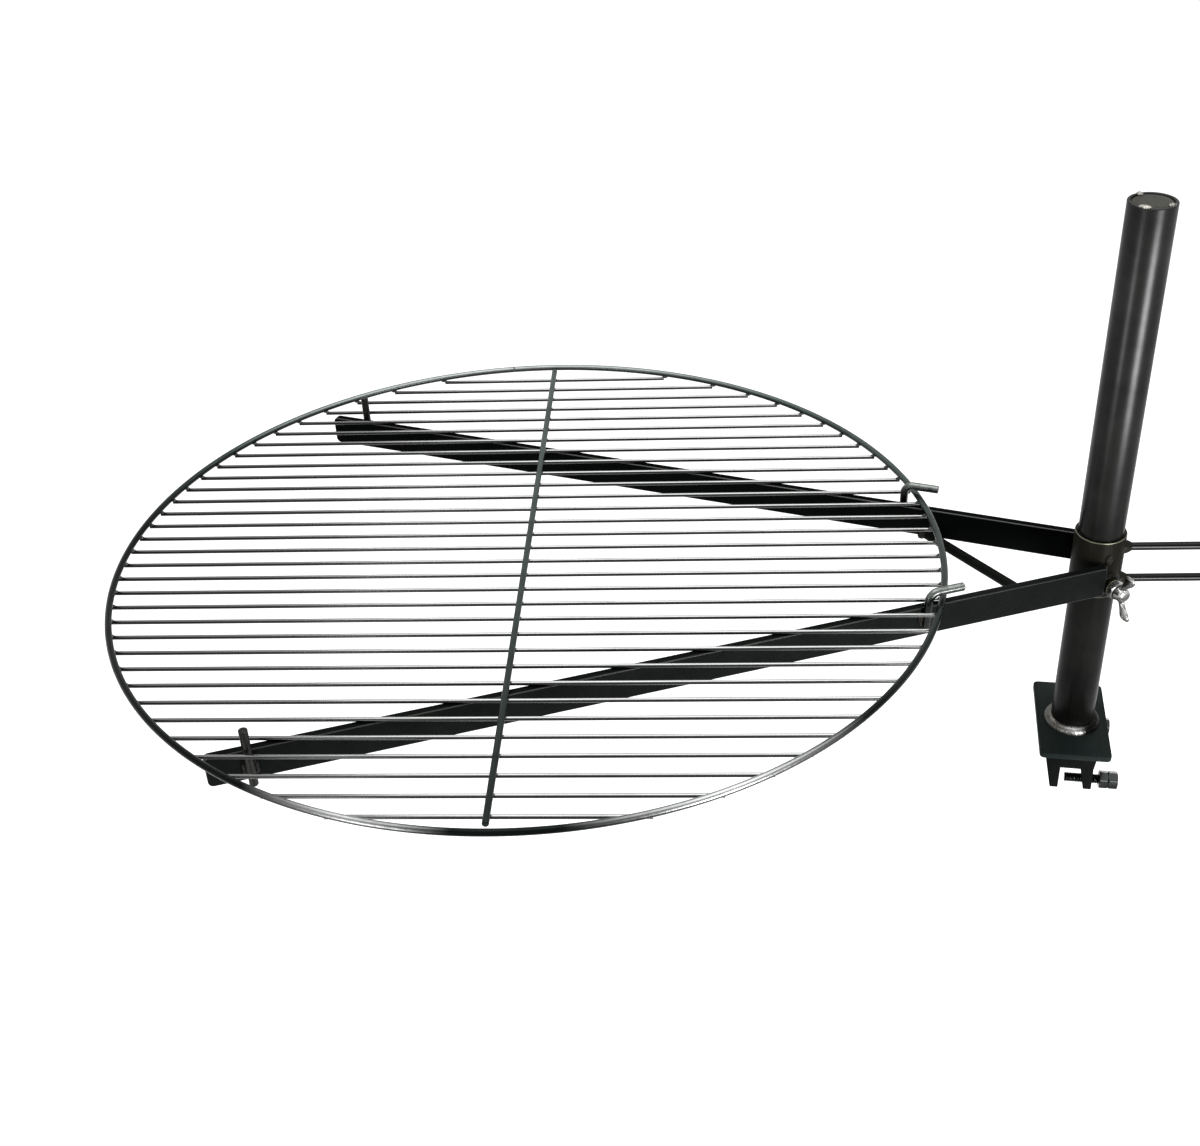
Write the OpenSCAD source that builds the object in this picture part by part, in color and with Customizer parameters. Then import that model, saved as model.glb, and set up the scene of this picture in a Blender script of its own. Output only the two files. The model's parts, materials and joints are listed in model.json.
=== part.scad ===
// Swing-out fire pit grill grate on a rim-clamped post.
// Millimetres. Origin on the post's axis at the height of the forks' seats.
// +X points away from the grate, which hangs towards -X, and +Z points up.

/* [Base plate] */
// Width of the plate across the rim
plate_w = 70; // [60:1:90]
// Length of the plate along the rim
plate_l = 120; // [110:1:180]
// Thickness of the plate
plate_t = 6; // [4:0.5:12]
// Radius of the plate's corners
plate_corner = 5; // [2:0.5:10]

/* [Clamp forks] */
// Thickness of a fork along the rim
fork_t = 16; // [13:0.5:22]
// How far a fork stands in from the plate's end
fork_inset = 8.5; // [0:0.5:14]
// Height of the web from the rim seat to the plate
web_h = 18; // [12:0.5:30]
// Length of the legs below the rim seat
leg_drop = 26; // [25:0.5:36]
// How far the fork's top reaches inwards from the post's axis
fork_top_in = 29; // [24:0.5:34]
// How far the fork's top reaches outwards from the post's axis
fork_top_out = 23; // [21.5:0.5:34]
// Distance of the inner leg's clamping face from the post's axis
slot_in = 12; // [9:0.5:14]
// Distance of the slot's outer side from the post's axis, at the seat
slot_out = 8; // [7:0.5:9.5]
// How much wider the slot is at its mouth
slot_flare = 5; // [2:0.5:6]
// Radius of the slot's upper corners
slot_corner = 4; // [1:0.5:5]
// Width of the inner leg at its lower end
inner_leg_w = 8; // [5:0.5:10]
// Width of the outer leg at its lower end
outer_leg_w = 8; // [6:0.5:12]
// Width of the outer leg at the height of the seat
outer_neck_w = 12.5; // [10:0.5:14]

/* [Clamp bolts] */
// Diameter of a clamp bolt's thread
bolt_d = 10; // [8:0.5:12]
// Depth of a clamp bolt's axis below the rim seat
bolt_drop = 18; // [16:0.5:19]
// Gap between the inner leg and the bolt's tip, as shown
clamp_gap = 6; // [3:0.5:12]
// Length of a clamp bolt under its head
bolt_len = 43; // [40:1:55]
// Width across the flats of the bolt heads and nuts
hex_af = 17; // [15:0.5:19]
// Height of a clamp bolt's head
head_h = 9.5; // [5:0.5:12]
// Height of a clamp bolt's lock nut
nut_h = 9; // [5:0.5:10]

/* [Post] */
// Outside diameter of the post
post_d = 42.4; // [33.7:0.1:43]
// Wall of the post
post_wall = 3.2; // [2:0.1:5]
// Length of the post
post_len = 555; // [400:1:900]
// Thickness of the post's end cap
cap_t = 4; // [2:0.5:8]
// Depth of the end cap below the post's rim
cap_recess = 0.5; // [0.2:0.1:2]
// Leg of the weld bead round the post's foot
foot_bead = 7; // [3:0.5:8]
// Radius of a weld tack on the end cap
tack_r = 3.4; // [2:0.1:3.6]
// Height of a weld tack on the end cap
tack_h = 2; // [1:0.1:2.5]

/* [Sleeve] */
// Wall of the sleeve
sleeve_wall = 2.87; // [2:0.01:5]
// Length of the sleeve
sleeve_len = 62; // [58:1:100]
// Height of the sleeve's lower end above the rim seat, as shown
sleeve_z = 191; // [60:1:400]
// Turn of the arms round the post, as shown
swing = 7; // [-180:1:180]

/* [Arms] */
// Angle between each arm and the middle line
arm_angle = 18.75; // [16:0.25:20]
// Height of the flat bar
arm_h = 31; // [28:1:38]
// Height of the arms' upper edge above the sleeve's lower end
arm_up = 40; // [36:1:46]
// Thickness of the flat bar
arm_t = 8; // [5:0.5:10]
// Distance from the post's axis at which an arm starts, along the arm
arm_start = 9; // [9:0.5:12]
// How far an arm runs past its peg
arm_tail = 37; // [15:1:40]
// Radius of an arm's end corners
arm_corner = 5; // [1:0.5:12]
// Radius of the weld bead between an arm and the sleeve
arm_bead = 4.5; // [3:0.5:5]
// Diameter of the brace rod
brace_d = 10; // [6:0.5:14]
// Where the brace meets the near arm, along the arm
brace_near = 71; // [45:1:120]
// Where the brace meets the far arm, along the arm
brace_far = 165; // [120:1:300]
// Height of the brace's axis above the arms' lower edge
brace_up = 1; // [0:0.5:12]

/* [Pegs and hooks] */
// Diameter of the rod of pegs and hooks
pin_d = 8; // [5:0.5:9]
// How far inside the ring the pegs stand, at least
peg_inset = 30; // [15:1:60]
// Gap between a peg and the wire beside it
peg_gap = 1.5; // [0.5:0.5:3]
// Height of a peg above the arm
peg_up = 25; // [12:1:50]
// Length of a peg below the arm
peg_down = 3; // [0:0.5:10]
// How far a hook's leg reaches down from the arm's upper edge
hook_leg = 20; // [10:1:28]
// Radius of a hook's bend, on the rod's axis
hook_bend = 9; // [7:0.5:10]
// Gap between the ring and the hook over it
hook_gap = 3; // [2:0.5:6]
// How far a hook reaches past its leg's axis, over the ring
hook_run = 34; // [28:1:60]

/* [Handle] */
// Diameter of the handle's rod
handle_d = 8; // [6:0.5:12]
// Distance between the handle's two runs, on their axes
handle_gap = 36; // [30:1:42]
// Height of the lower run above the sleeve's lower end
handle_up = 7.5; // [7:0.5:12]
// Reach of the handle from the post's axis
handle_reach = 195; // [120:1:260]
// Radius of the weld bead round a handle end
handle_bead = 7; // [6.5:0.1:7]

/* [Lock] */
// Angle of the wing screw from the arms' cross direction, towards the handle
lock_angle = 22; // [22:1:35]
// Height of the wing screw above the sleeve's lower end
lock_up = 15.5; // [12:0.5:30]
// Diameter of the wing screw's thread
screw_d = 10; // [8:0.5:12]
// Diameter of the threaded boss
boss_d = 18; // [16:0.5:18]
// Height of the threaded boss on the sleeve
boss_h = 9; // [6:0.5:14]
// Height of the wing screw's lock nut
screw_nut_h = 6; // [4:0.5:9]
// Diameter of the wing screw's hub
hub_d = 15; // [13:0.5:18]
// Height of the wing screw's hub
hub_h = 8; // [6:0.5:12]
// Span of the wings
wing_span = 47; // [34:1:60]
// How far the wings stand out past the hub's lower face
wing_h = 19; // [10:0.5:24]
// Radius of a wing's tip
wing_tip = 6; // [3:0.5:7]
// Thickness of a wing
wing_t = 3.5; // [2:0.5:6]

/* [Grate] */
// Diameter of the ring, on the rod's axis
grate_d = 800; // [600:5:900]
// Distance of the ring's near side from the post's axis
ring_near = 150; // [130:1:220]
// Diameter of the ring's rod
ring_d = 6.5; // [4:0.5:10]
// Diameter of the parallel wires
wire_d = 4; // [3:0.5:6]
// Number of parallel wires on each side of the middle
wires_half = 16; // [12:1:20]
// Gap between the ring's rod and the outermost wires, on their axes
rim_gap = 23.5; // [16:0.5:40]
// Diameter of the cross wire
cross_d = 6; // [4:0.5:8]
// How far the wires' ends stand back from the ring's outer side
wire_trim = 3.25; // [0:0.25:4]
// How far the cross wire stops short of the ring
cross_short = 6; // [2:0.5:20]

/* [Fits] */
// Radial clearance of what turns or slides
run_gap = 0.08; // [0.02:0.01:0.1]
// Clearance between a welded piece and what it joins
weld_gap = 0.05; // [0.02:0.01:0.1]
// Clearance under what rests on the arms and behind what presses
rest_gap = 0.3; // [0.1:0.1:0.5]

/* [Hidden] */
$fn = 48;

// Paint and metal
black_paint = [0.07, 0.07, 0.07];
dark_steel = [0.20, 0.20, 0.20];
bright_zinc = [0.72, 0.73, 0.74];
dull_zinc = [0.38, 0.38, 0.37];
weld_grey = [0.45, 0.45, 0.44];
bare_steel = [0.62, 0.64, 0.62];

// Margin by which a cutting shape runs past what it cuts
past = 2;
// Part of a nut's flat left full where its corners are cut back
hex_flat = 0.96;

// Heights
plate_z = web_h;
post_z = plate_z + plate_t;
post_top = post_z + post_len;
arm_top = sleeve_z + arm_up;
arm_z = arm_top - arm_h;
wire_z = arm_top + rest_gap + wire_d / 2;
ring_z = wire_z + wire_d / 2 + weld_gap + ring_d / 2;
cross_z = wire_z + wire_d / 2 + weld_gap + cross_d / 2;
hook_z = ring_z + ring_d / 2 + hook_gap + pin_d / 2;
lock_z = sleeve_z + lock_up;
handle_z = sleeve_z + handle_up;

// Sleeve, which takes its bore from the post
sleeve_bore = post_d + 2 * run_gap;
sleeve_d = sleeve_bore + 2 * sleeve_wall;

// Forks and clamp bolts
fork_y = plate_l / 2 - fork_inset - fork_t / 2;
bolt_tip = -slot_in + clamp_gap;
bolt_head = bolt_tip + bolt_len;
slot_slope = atan(slot_flare / leg_drop);

// Wires and what is placed by them
grate_r = grate_d / 2;
grate_x = -(ring_near + grate_r);
pitch = (grate_r - rim_gap) / (wires_half - 0.5);
arm_in = sleeve_d / 2;
pin_off = arm_in + arm_t + pin_d / 2 + weld_gap;
hook_s = on_arm(pitch * ceil(y_at(grate_r - (ring_d + pin_d) / 2 - rest_gap, -1) / pitch));
peg_half = (wire_d + pin_d) / 2 + peg_gap;
peg_wire_y = pitch * (floor((y_at(grate_r - peg_inset, 1) + peg_half) / pitch + 0.5) - 0.5);
peg_s = on_arm(peg_wire_y - peg_half);
arm_tip = peg_s + arm_tail;

// Wing screw, outwards from the post's axis
boss_end = sleeve_d / 2 + boss_h;
screw_nut_z = boss_end + rest_gap;
hub_z = screw_nut_z + screw_nut_h + rest_gap;

// Distance from the arms' middle line of the pins' line, at a distance from the grate's centre
function y_at(r, side) =
    let (mid = -grate_x * cos(arm_angle),
         off = -grate_x * sin(arm_angle) + pin_off,
         s = mid + side * sqrt(r * r - off * off))
    s * sin(arm_angle) + pin_off * cos(arm_angle);

// Place along the arm of a point of the pins' line, from its distance to the middle line
function on_arm(y) = (y - pin_off * cos(arm_angle)) / sin(arm_angle);

// Everything that turns with the sleeve
module swung() rotate([0, 0, swing]) children();

// Places in an arm's own directions: x along the arm, y outwards from its inner face, z up
module near_side() swung() rotate([0, 0, 180 + arm_angle]) children();
module far_side() swung() mirror([0, 1, 0]) rotate([0, 0, 180 + arm_angle]) children();

// Places along the wing screw's axis, with z outwards from the post
module lock_axis() swung() rotate([0, 0, lock_angle - 90]) translate([0, 0, lock_z]) rotate([0, 90, 0]) children();

// Places along a clamp bolt's axis, with z outwards from the forks
module bolt_axis(y) translate([0, y, -bolt_drop]) rotate([0, 90, 0]) children();

// Rectangle with four round corners, centred
module round_rect(w, h, r) {
    square([w - 2 * r, h], center = true);
    square([w, h - 2 * r], center = true);
    for (x = [-1, 1], y = [-1, 1])
        translate([x * (w / 2 - r), y * (h / 2 - r)]) circle(r);
}

// Hexagon block with its corners cut back on both faces
module hex_block(af, h) {
    corner_r = af / sqrt(3);
    face_r = hex_flat * af / 2;
    cut = (corner_r - face_r) * tan(30);
    intersection() {
        cylinder(r = corner_r, h = h, $fn = 6);
        rotate_extrude() polygon([[0, 0], [face_r, 0], [corner_r, cut], [corner_r, h - cut],
                                  [face_r, h], [0, h]]);
    }
}

// Nut with a running bore
module nut(af, h, d) difference() {
    hex_block(af, h);
    translate([0, 0, -past]) cylinder(d = d + 2 * run_gap, h = h + 2 * past);
}

// Base

module base_plate() color(dark_steel)
    translate([0, 0, plate_z]) linear_extrude(plate_t) round_rect(plate_w, plate_l, plate_corner);

// Outline of a fork without its slot, x across the rim and y up
module fork_outline() polygon([
    [-fork_top_in, web_h], [fork_top_out, web_h], [slot_out + outer_neck_w, 0],
    [slot_out + slot_flare + outer_leg_w, -leg_drop], [slot_out + slot_flare, -leg_drop],
    [-slot_in, -leg_drop], [-slot_in - inner_leg_w, -leg_drop]]);

// Slot for the rim: its inner side is upright, its outer side slopes, its upper corners are round
module fork_slot() {
    r = slot_corner;
    outer_x = slot_out - r * (1 - sin(slot_slope)) / cos(slot_slope);
    touch = [outer_x + r * cos(slot_slope), -r + r * sin(slot_slope)];
    mouth = slot_out + (leg_drop + past) * tan(slot_slope);
    polygon([[-slot_in, -leg_drop - past], [mouth, -leg_drop - past], touch, [outer_x, -r],
             [outer_x, 0], [-slot_in + r, 0], [-slot_in + r, -r], [-slot_in, -r]]);
    translate([outer_x, -r]) circle(r);
    translate([-slot_in + r, -r]) circle(r);
}

module fork(y) color(dark_steel) difference() {
    translate([0, y + fork_t / 2, 0]) rotate([90, 0, 0]) linear_extrude(fork_t) difference() {
        fork_outline();
        fork_slot();
    }
    bolt_axis(y) cylinder(d = bolt_d + 2 * run_gap, h = fork_top_out + fork_top_in);
}

module front_fork() fork(-fork_y);
module rear_fork() fork(fork_y);

// Bead of a quarter-round section, clear of the post by the running gap
module foot_weld() color(weld_grey) translate([0, 0, post_z]) rotate_extrude() intersection() {
    translate([post_d / 2 + run_gap, 0]) circle(foot_bead);
    translate([post_d / 2 + run_gap, 0]) square(foot_bead);
}

module clamp_bolt(y) color(dull_zinc) bolt_axis(y) {
    tip_cut = bolt_d / 10;
    translate([0, 0, bolt_tip]) cylinder(d1 = bolt_d - 2 * tip_cut, d2 = bolt_d, h = tip_cut);
    translate([0, 0, bolt_tip + tip_cut]) cylinder(d = bolt_d, h = bolt_len - tip_cut);
    translate([0, 0, bolt_head]) hex_block(hex_af, head_h);
}

module front_clamp_bolt() clamp_bolt(-fork_y);
module rear_clamp_bolt() clamp_bolt(fork_y);

module clamp_nut(y) color(dull_zinc) bolt_axis(y)
    translate([0, 0, bolt_head - nut_h - weld_gap]) nut(hex_af, nut_h, bolt_d);

module front_lock_nut() clamp_nut(-fork_y);
module rear_lock_nut() clamp_nut(fork_y);

// Post

module post_tube() color(black_paint) translate([0, 0, post_z]) difference() {
    cylinder(d = post_d, h = post_len);
    translate([0, 0, -past]) cylinder(d = post_d - 2 * post_wall, h = post_len + 2 * past);
}

module post_cap() color(black_paint) translate([0, 0, post_top - cap_recess - cap_t])
    cylinder(d = post_d - 2 * post_wall - 2 * weld_gap, h = cap_t);

// Three domes on the joint between the cap and the tube
module cap_tacks() color(weld_grey) {
    dome_r = (tack_r * tack_r + tack_h * tack_h) / (2 * tack_h);
    seat_r = post_d / 2 - tack_r - weld_gap;
    for (a = [-42, 114, 236]) swung() rotate([0, 0, a]) translate([seat_r, 0, post_top]) intersection() {
        translate([0, 0, tack_h - dome_r]) sphere(dome_r);
        cylinder(r = dome_r, h = dome_r);
    }
}

// Carrier

module sleeve() color(black_paint) difference() {
    translate([0, 0, sleeve_z]) cylinder(d = sleeve_d, h = sleeve_len);
    translate([0, 0, sleeve_z - past]) cylinder(d = sleeve_bore, h = sleeve_len + 2 * past);
    lock_axis() cylinder(d = screw_d + 2 * run_gap, h = sleeve_d);
}

// Solid inside of the sleeve's outer wall, which trims what is welded on it
module sleeve_trim() translate([0, 0, sleeve_z - past])
    cylinder(d = sleeve_d + 2 * weld_gap, h = sleeve_len + 2 * past);

// Flat bar on edge in the arm's own directions, made larger all round by a margin
module bar(margin = 0) {
    len = arm_tip - arm_start + 2 * margin;
    h = arm_h + 2 * margin;
    t = arm_t + 2 * margin;
    translate([arm_start - margin, arm_in - margin + t, arm_z - margin]) rotate([90, 0, 0])
        linear_extrude(t) {
            square([len - arm_corner, h]);
            translate([0, arm_corner]) square([len, h - 2 * arm_corner]);
            for (z = [arm_corner, h - arm_corner]) translate([len - arm_corner, z]) circle(arm_corner);
        }
}

module near_arm() color(black_paint) near_side() bar();
module far_arm() color(black_paint) far_side() bar();

// Bead along an arm's inner corner, trimmed by the sleeve and the arm
module arm_bead_solid() difference() {
    translate([arm_start, arm_in, arm_z + weld_gap]) cylinder(r = arm_bead, h = arm_h - 2 * weld_gap);
    bar(weld_gap);
}

module arm_welds() color(weld_grey) {
    difference() {
        near_side() arm_bead_solid();
        sleeve_trim();
        lock_axis() cylinder(d = boss_d + 2 * weld_gap, h = boss_end + past);
    }
    difference() {
        far_side() arm_bead_solid();
        sleeve_trim();
    }
}

// Rod between the arms' inner faces, mitred to them
module brace_rod() color(dark_steel) {
    face = arm_in - weld_gap;
    near_pt = [-brace_near * cos(arm_angle) + face * sin(arm_angle),
               -brace_near * sin(arm_angle) - face * cos(arm_angle)];
    far_pt = [-brace_far * cos(arm_angle) + face * sin(arm_angle),
              brace_far * sin(arm_angle) + face * cos(arm_angle)];
    run = far_pt - near_pt;
    spare = 2 * brace_d;
    apex = [face / sin(arm_angle), 0];
    reach = 2 * brace_far;
    swung() intersection() {
        translate([near_pt[0], near_pt[1], arm_z + brace_up]) rotate([0, 0, atan2(run[1], run[0])])
            rotate([0, 90, 0]) translate([0, 0, -spare]) cylinder(d = brace_d, h = norm(run) + 2 * spare);
        translate([0, 0, arm_z - spare]) linear_extrude(arm_h + spare) polygon([
            apex,
            apex + reach * [-cos(arm_angle), sin(arm_angle)],
            apex + reach * [-cos(arm_angle), -sin(arm_angle)]]);
    }
}

module peg() color(bright_zinc)
    translate([peg_s, pin_off, arm_z - peg_down]) cylinder(d = pin_d, h = peg_down + arm_h + peg_up);

module near_peg() near_side() peg();
module far_peg() far_side() peg();

// Upright leg on the arm, a round bend and a level run over the ring, towards the post
module hook() color(bright_zinc) translate([hook_s, pin_off, 0]) {
    leg_z = arm_top - hook_leg;
    bend_z = hook_z - hook_bend;
    translate([0, 0, leg_z]) cylinder(d = pin_d, h = bend_z - leg_z);
    translate([-hook_bend, 0, bend_z]) rotate([90, 0, 0]) rotate_extrude(angle = 90)
        translate([hook_bend, 0]) circle(d = pin_d);
    translate([-hook_bend, 0, hook_z]) rotate([0, -90, 0]) cylinder(d = pin_d, h = hook_run - hook_bend);
}

module near_hook() near_side() hook();
module far_hook() far_side() hook();

// Two runs of rod and a half-round end, in the upright plane through the post
module handle_loop() color(black_paint) swung() difference() {
    bend = handle_gap / 2;
    end_x = handle_reach - handle_d / 2 - bend;
    union() {
        for (z = [handle_z, handle_z + handle_gap]) translate([post_d / 2, 0, z]) rotate([0, 90, 0])
            cylinder(d = handle_d, h = end_x - post_d / 2);
        translate([end_x, 0, handle_z + bend]) rotate([90, 0, 0]) rotate([0, 0, -90])
            rotate_extrude(angle = 180) translate([bend, 0]) circle(d = handle_d);
    }
    sleeve_trim();
}

// A cone of weld round each end of the handle
module handle_welds() color(weld_grey) swung() for (z = [handle_z, handle_z + handle_gap])
    difference() {
        translate([post_d / 2, 0, z]) rotate([0, 90, 0])
            cylinder(r1 = handle_bead, r2 = handle_d / 2 + run_gap + weld_gap, h = sleeve_wall + handle_bead);
        translate([0, 0, z]) rotate([0, 90, 0]) cylinder(d = handle_d + 2 * weld_gap, h = sleeve_d);
        sleeve_trim();
    }

module lock_boss() color(black_paint) difference() {
    lock_axis() rotate_extrude() polygon([
        [screw_d / 2 + run_gap, 0], [boss_d / 2, 0], [boss_d / 2, boss_end - 1],
        [boss_d / 2 - 1, boss_end], [screw_d / 2 + run_gap, boss_end]]);
    sleeve_trim();
}

// Outline of the two wings, x along the span and y outwards
module wing_outline() for (side = [-1, 1]) hull() {
    translate([side * (wing_span / 2 - wing_tip), wing_h - wing_tip]) circle(wing_tip, $fn = 32);
    translate([side * hub_d / 4, hub_h / 2]) circle(hub_h / 3, $fn = 32);
}

module wing_screw() color(bright_zinc) lock_axis() {
    tip_z = post_d / 2 + rest_gap;
    crown = hub_h / 4;
    crown_r = (hub_d * hub_d / 4 + crown * crown) / (2 * crown);
    translate([0, 0, tip_z]) cylinder(d = screw_d, h = hub_z - tip_z);
    translate([0, 0, hub_z]) cylinder(d = hub_d, h = hub_h);
    translate([0, 0, hub_z + hub_h]) intersection() {
        translate([0, 0, crown - crown_r]) sphere(crown_r);
        cylinder(d = hub_d, h = crown);
    }
    translate([0, wing_t / 2, hub_z]) rotate([90, 0, 0]) linear_extrude(wing_t) wing_outline();
}

module wing_lock_nut() color(bright_zinc) lock_axis()
    translate([0, 0, screw_nut_z]) nut(hex_af, screw_nut_h, screw_d);

// Grate

// Places from the grate's centre
module grate_centre(z) swung() translate([grate_x, 0, z]) children();

module grate_ring() color(bare_steel) grate_centre(ring_z)
    rotate_extrude() translate([grate_r, 0]) circle(d = ring_d);

module cross_wire() color(bare_steel) {
    half = grate_r - ring_d / 2 - cross_short;
    grate_centre(cross_z) rotate([90, 0, 0]) translate([0, 0, -half]) cylinder(d = cross_d, h = 2 * half);
}

// Parallel wires under the ring, each cut to end under the ring's rod
module grate_wires() color(bare_steel) grate_centre(wire_z)
    for (i = [0:2 * wires_half - 1]) {
        y = (i - wires_half + 0.5) * pitch;
        half = sqrt(pow(grate_r + ring_d / 2 - wire_trim, 2) - y * y);
        translate([-half, y, 0]) rotate([0, 90, 0]) cylinder(d = wire_d, h = 2 * half);
    }

base_plate();
front_fork();
rear_fork();
foot_weld();
front_clamp_bolt();
rear_clamp_bolt();
front_lock_nut();
rear_lock_nut();
post_tube();
post_cap();
cap_tacks();
sleeve();
near_arm();
far_arm();
arm_welds();
brace_rod();
near_peg();
far_peg();
near_hook();
far_hook();
handle_loop();
handle_welds();
lock_boss();
wing_screw();
wing_lock_nut();
grate_ring();
cross_wire();
grate_wires();
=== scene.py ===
"""Dresses a swing-out fire pit grill grate: paint, zinc, weld beads, threads and wires, under plain studio light."""
import json
import logging
import math
from dataclasses import dataclass
from enum import Enum
from typing import Callable, Iterable, Sequence

import bmesh
import bpy
from mathutils import Matrix, Vector, noise


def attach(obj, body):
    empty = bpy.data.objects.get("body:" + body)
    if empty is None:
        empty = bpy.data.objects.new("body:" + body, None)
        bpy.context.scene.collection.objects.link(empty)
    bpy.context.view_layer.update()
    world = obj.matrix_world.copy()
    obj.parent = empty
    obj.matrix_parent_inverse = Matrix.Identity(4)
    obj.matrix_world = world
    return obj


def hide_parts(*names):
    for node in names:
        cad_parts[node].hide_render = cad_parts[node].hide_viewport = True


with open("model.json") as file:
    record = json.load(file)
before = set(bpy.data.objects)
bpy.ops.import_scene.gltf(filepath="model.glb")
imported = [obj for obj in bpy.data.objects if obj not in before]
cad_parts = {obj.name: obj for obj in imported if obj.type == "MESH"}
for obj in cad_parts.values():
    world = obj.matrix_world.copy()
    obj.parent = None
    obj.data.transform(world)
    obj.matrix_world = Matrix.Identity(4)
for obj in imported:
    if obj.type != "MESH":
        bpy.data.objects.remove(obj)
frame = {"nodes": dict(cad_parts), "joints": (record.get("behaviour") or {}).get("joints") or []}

log = logging.getLogger("grill_grate")
MM = 0.001
Point = tuple[float, float, float]


# Mesh tools


def deselect() -> None:
    """Clears the selection in object mode."""
    if bpy.context.object and bpy.context.object.mode != "OBJECT":
        bpy.ops.object.mode_set(mode="OBJECT")
    bpy.ops.object.select_all(action="DESELECT")


def activate(piece: bpy.types.Object) -> None:
    """Makes a piece the only selected and the active object."""
    deselect()
    piece.select_set(True)
    bpy.context.view_layer.objects.active = piece


class Editing:
    """Edit mode on one piece, with picking by a test of place or normal."""

    def __init__(self, piece: bpy.types.Object, kind: str = "FACE") -> None:
        """Keeps the piece and the kind of element to pick.

        Args:
            piece: The mesh object to edit.
            kind: VERT, EDGE or FACE.
        """
        self.piece = piece
        self.kind = kind

    def __enter__(self) -> "Editing":
        """Enters edit mode with nothing selected."""
        activate(self.piece)
        bpy.ops.object.mode_set(mode="EDIT")
        bpy.ops.mesh.select_mode(type=self.kind)
        bpy.ops.mesh.select_all(action="DESELECT")
        return self

    def __exit__(self, *_: object) -> None:
        """Leaves edit mode."""
        bpy.ops.object.mode_set(mode="OBJECT")

    def pick(self, test: Callable) -> int:
        """Selects the elements that pass a test, and no others.

        Args:
            test: Takes a bmesh element and says whether it is wanted.

        Returns:
            How many were picked.
        """
        bpy.ops.mesh.select_all(action="DESELECT")
        mesh = bmesh.from_edit_mesh(self.piece.data)
        elements = {"VERT": mesh.verts, "EDGE": mesh.edges, "FACE": mesh.faces}[self.kind]
        wanted = [e for e in elements if test(e)]
        for element in wanted:
            element.select_set(True)
        bmesh.update_edit_mesh(self.piece.data)
        return len(wanted)

    def everything(self) -> None:
        """Selects all."""
        bpy.ops.mesh.select_all(action="SELECT")


def apply_modifier(piece: bpy.types.Object, kind: str, **settings: object) -> None:
    """Adds a modifier and applies it at once.

    Args:
        piece: The mesh object.
        kind: Blender's name for the modifier.
        settings: The modifier's own settings.
    """
    activate(piece)
    modifier = piece.modifiers.new(kind.title(), kind)
    for key, value in settings.items():
        setattr(modifier, key, value)
    bpy.ops.object.modifier_apply(modifier=modifier.name)


def tidy_normals(piece: bpy.types.Object, merge: float = 1e-6) -> None:
    """Merges doubles, closes holes and turns all faces outwards.

    Args:
        piece: The mesh object.
        merge: Merge distance in metres.
    """
    with Editing(piece) as edit:
        edit.everything()
        bpy.ops.mesh.remove_doubles(threshold=merge)
        bpy.ops.mesh.normals_make_consistent(inside=False)


def smooth(piece: bpy.types.Object, degrees: float = 32.0) -> None:
    """Shades a piece smooth except across sharp edges."""
    activate(piece)
    bpy.ops.object.shade_smooth_by_angle(angle=math.radians(degrees))


def put(piece: bpy.types.Object, matrix: Matrix) -> bpy.types.Object:
    """Moves a piece by a matrix and bakes its place into its mesh.

    Args:
        piece: The object.
        matrix: From the piece's own directions to the row frame, in metres.

    Returns:
        The same object.
    """
    activate(piece)
    piece.matrix_world = matrix @ piece.matrix_world
    bpy.ops.object.transform_apply(location=True, rotation=True, scale=True)
    return piece


def join(pieces: Sequence[bpy.types.Object], name: str) -> bpy.types.Object:
    """Joins pieces into the first and renames it."""
    activate(pieces[0])
    for piece in pieces:
        piece.select_set(True)
    bpy.ops.object.join()
    joined = bpy.context.object
    joined.name = name
    return joined


def copy_of(piece: bpy.types.Object) -> bpy.types.Object:
    """Copies a piece with a mesh of its own."""
    activate(piece)
    bpy.ops.object.duplicate(linked=False)
    return bpy.context.object


def mark_edges(piece: bpy.types.Object, index: int = 1) -> None:
    """Turns the faces of one material slot into the value 1 of the attribute edge, and the rest into 0.

    Args:
        piece: The mesh object.
        index: The slot that a bevel gave its new faces.
    """
    mesh = piece.data
    marks = mesh.attributes.new("edge", "FLOAT", "FACE")
    for polygon in mesh.polygons:
        marks.data[polygon.index].value = float(polygon.material_index == index)
        polygon.material_index = 0
    mesh.materials.clear()


def mark_under(piece: bpy.types.Object) -> None:
    """Keeps how far each point of a finished piece faces down, from 0 at the top to 1 below, for painted shade on
    undersides.
    """
    mark = piece.data.attributes.new("under", "FLOAT", "POINT")
    for number, vertex in enumerate(piece.data.vertices):
        mark.data[number].value = 0.5 - 0.5 * vertex.normal.z


def mark_painted_highlight(piece: bpy.types.Object, middle: Vector, stretches: Sequence[tuple[float, float, float]]) -> None:
    """Keeps how strongly each point of a ring gets a painted highlight.

    Args:
        piece: The ring's mesh object.
        middle: The ring's middle in metres.
        stretches: Azimuth in degrees, half width in degrees and strength of each painted highlight stretch.
    """
    mark = piece.data.attributes.new("painted_highlight", "FLOAT", "POINT")
    for number, vertex in enumerate(piece.data.vertices):
        out = vertex.co - middle
        azimuth = math.degrees(math.atan2(out.y, out.x))
        shares = [strength * max(0.0, 1 - abs((azimuth - at + 180) % 360 - 180) / half)
                  for at, half, strength in stretches]
        mark.data[number].value = max(shares)


def soften(piece: bpy.types.Object, width: float, segments: int = 2, degrees: float = 40.0) -> None:
    """Rounds a piece's sharp edges and marks the new faces for wear.

    Args:
        piece: The mesh object.
        width: Bevel width in millimetres.
        segments: Faces across each bevel.
        degrees: Only edges sharper than this.
    """
    piece.data.materials.clear()
    for _ in range(2):
        piece.data.materials.append(None)
    apply_modifier(piece, "BEVEL", width=width * MM, segments=segments, limit_method="ANGLE",
                   angle_limit=math.radians(degrees), material=1, use_clamp_overlap=True)
    mark_edges(piece)
    smooth(piece, 35)


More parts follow.
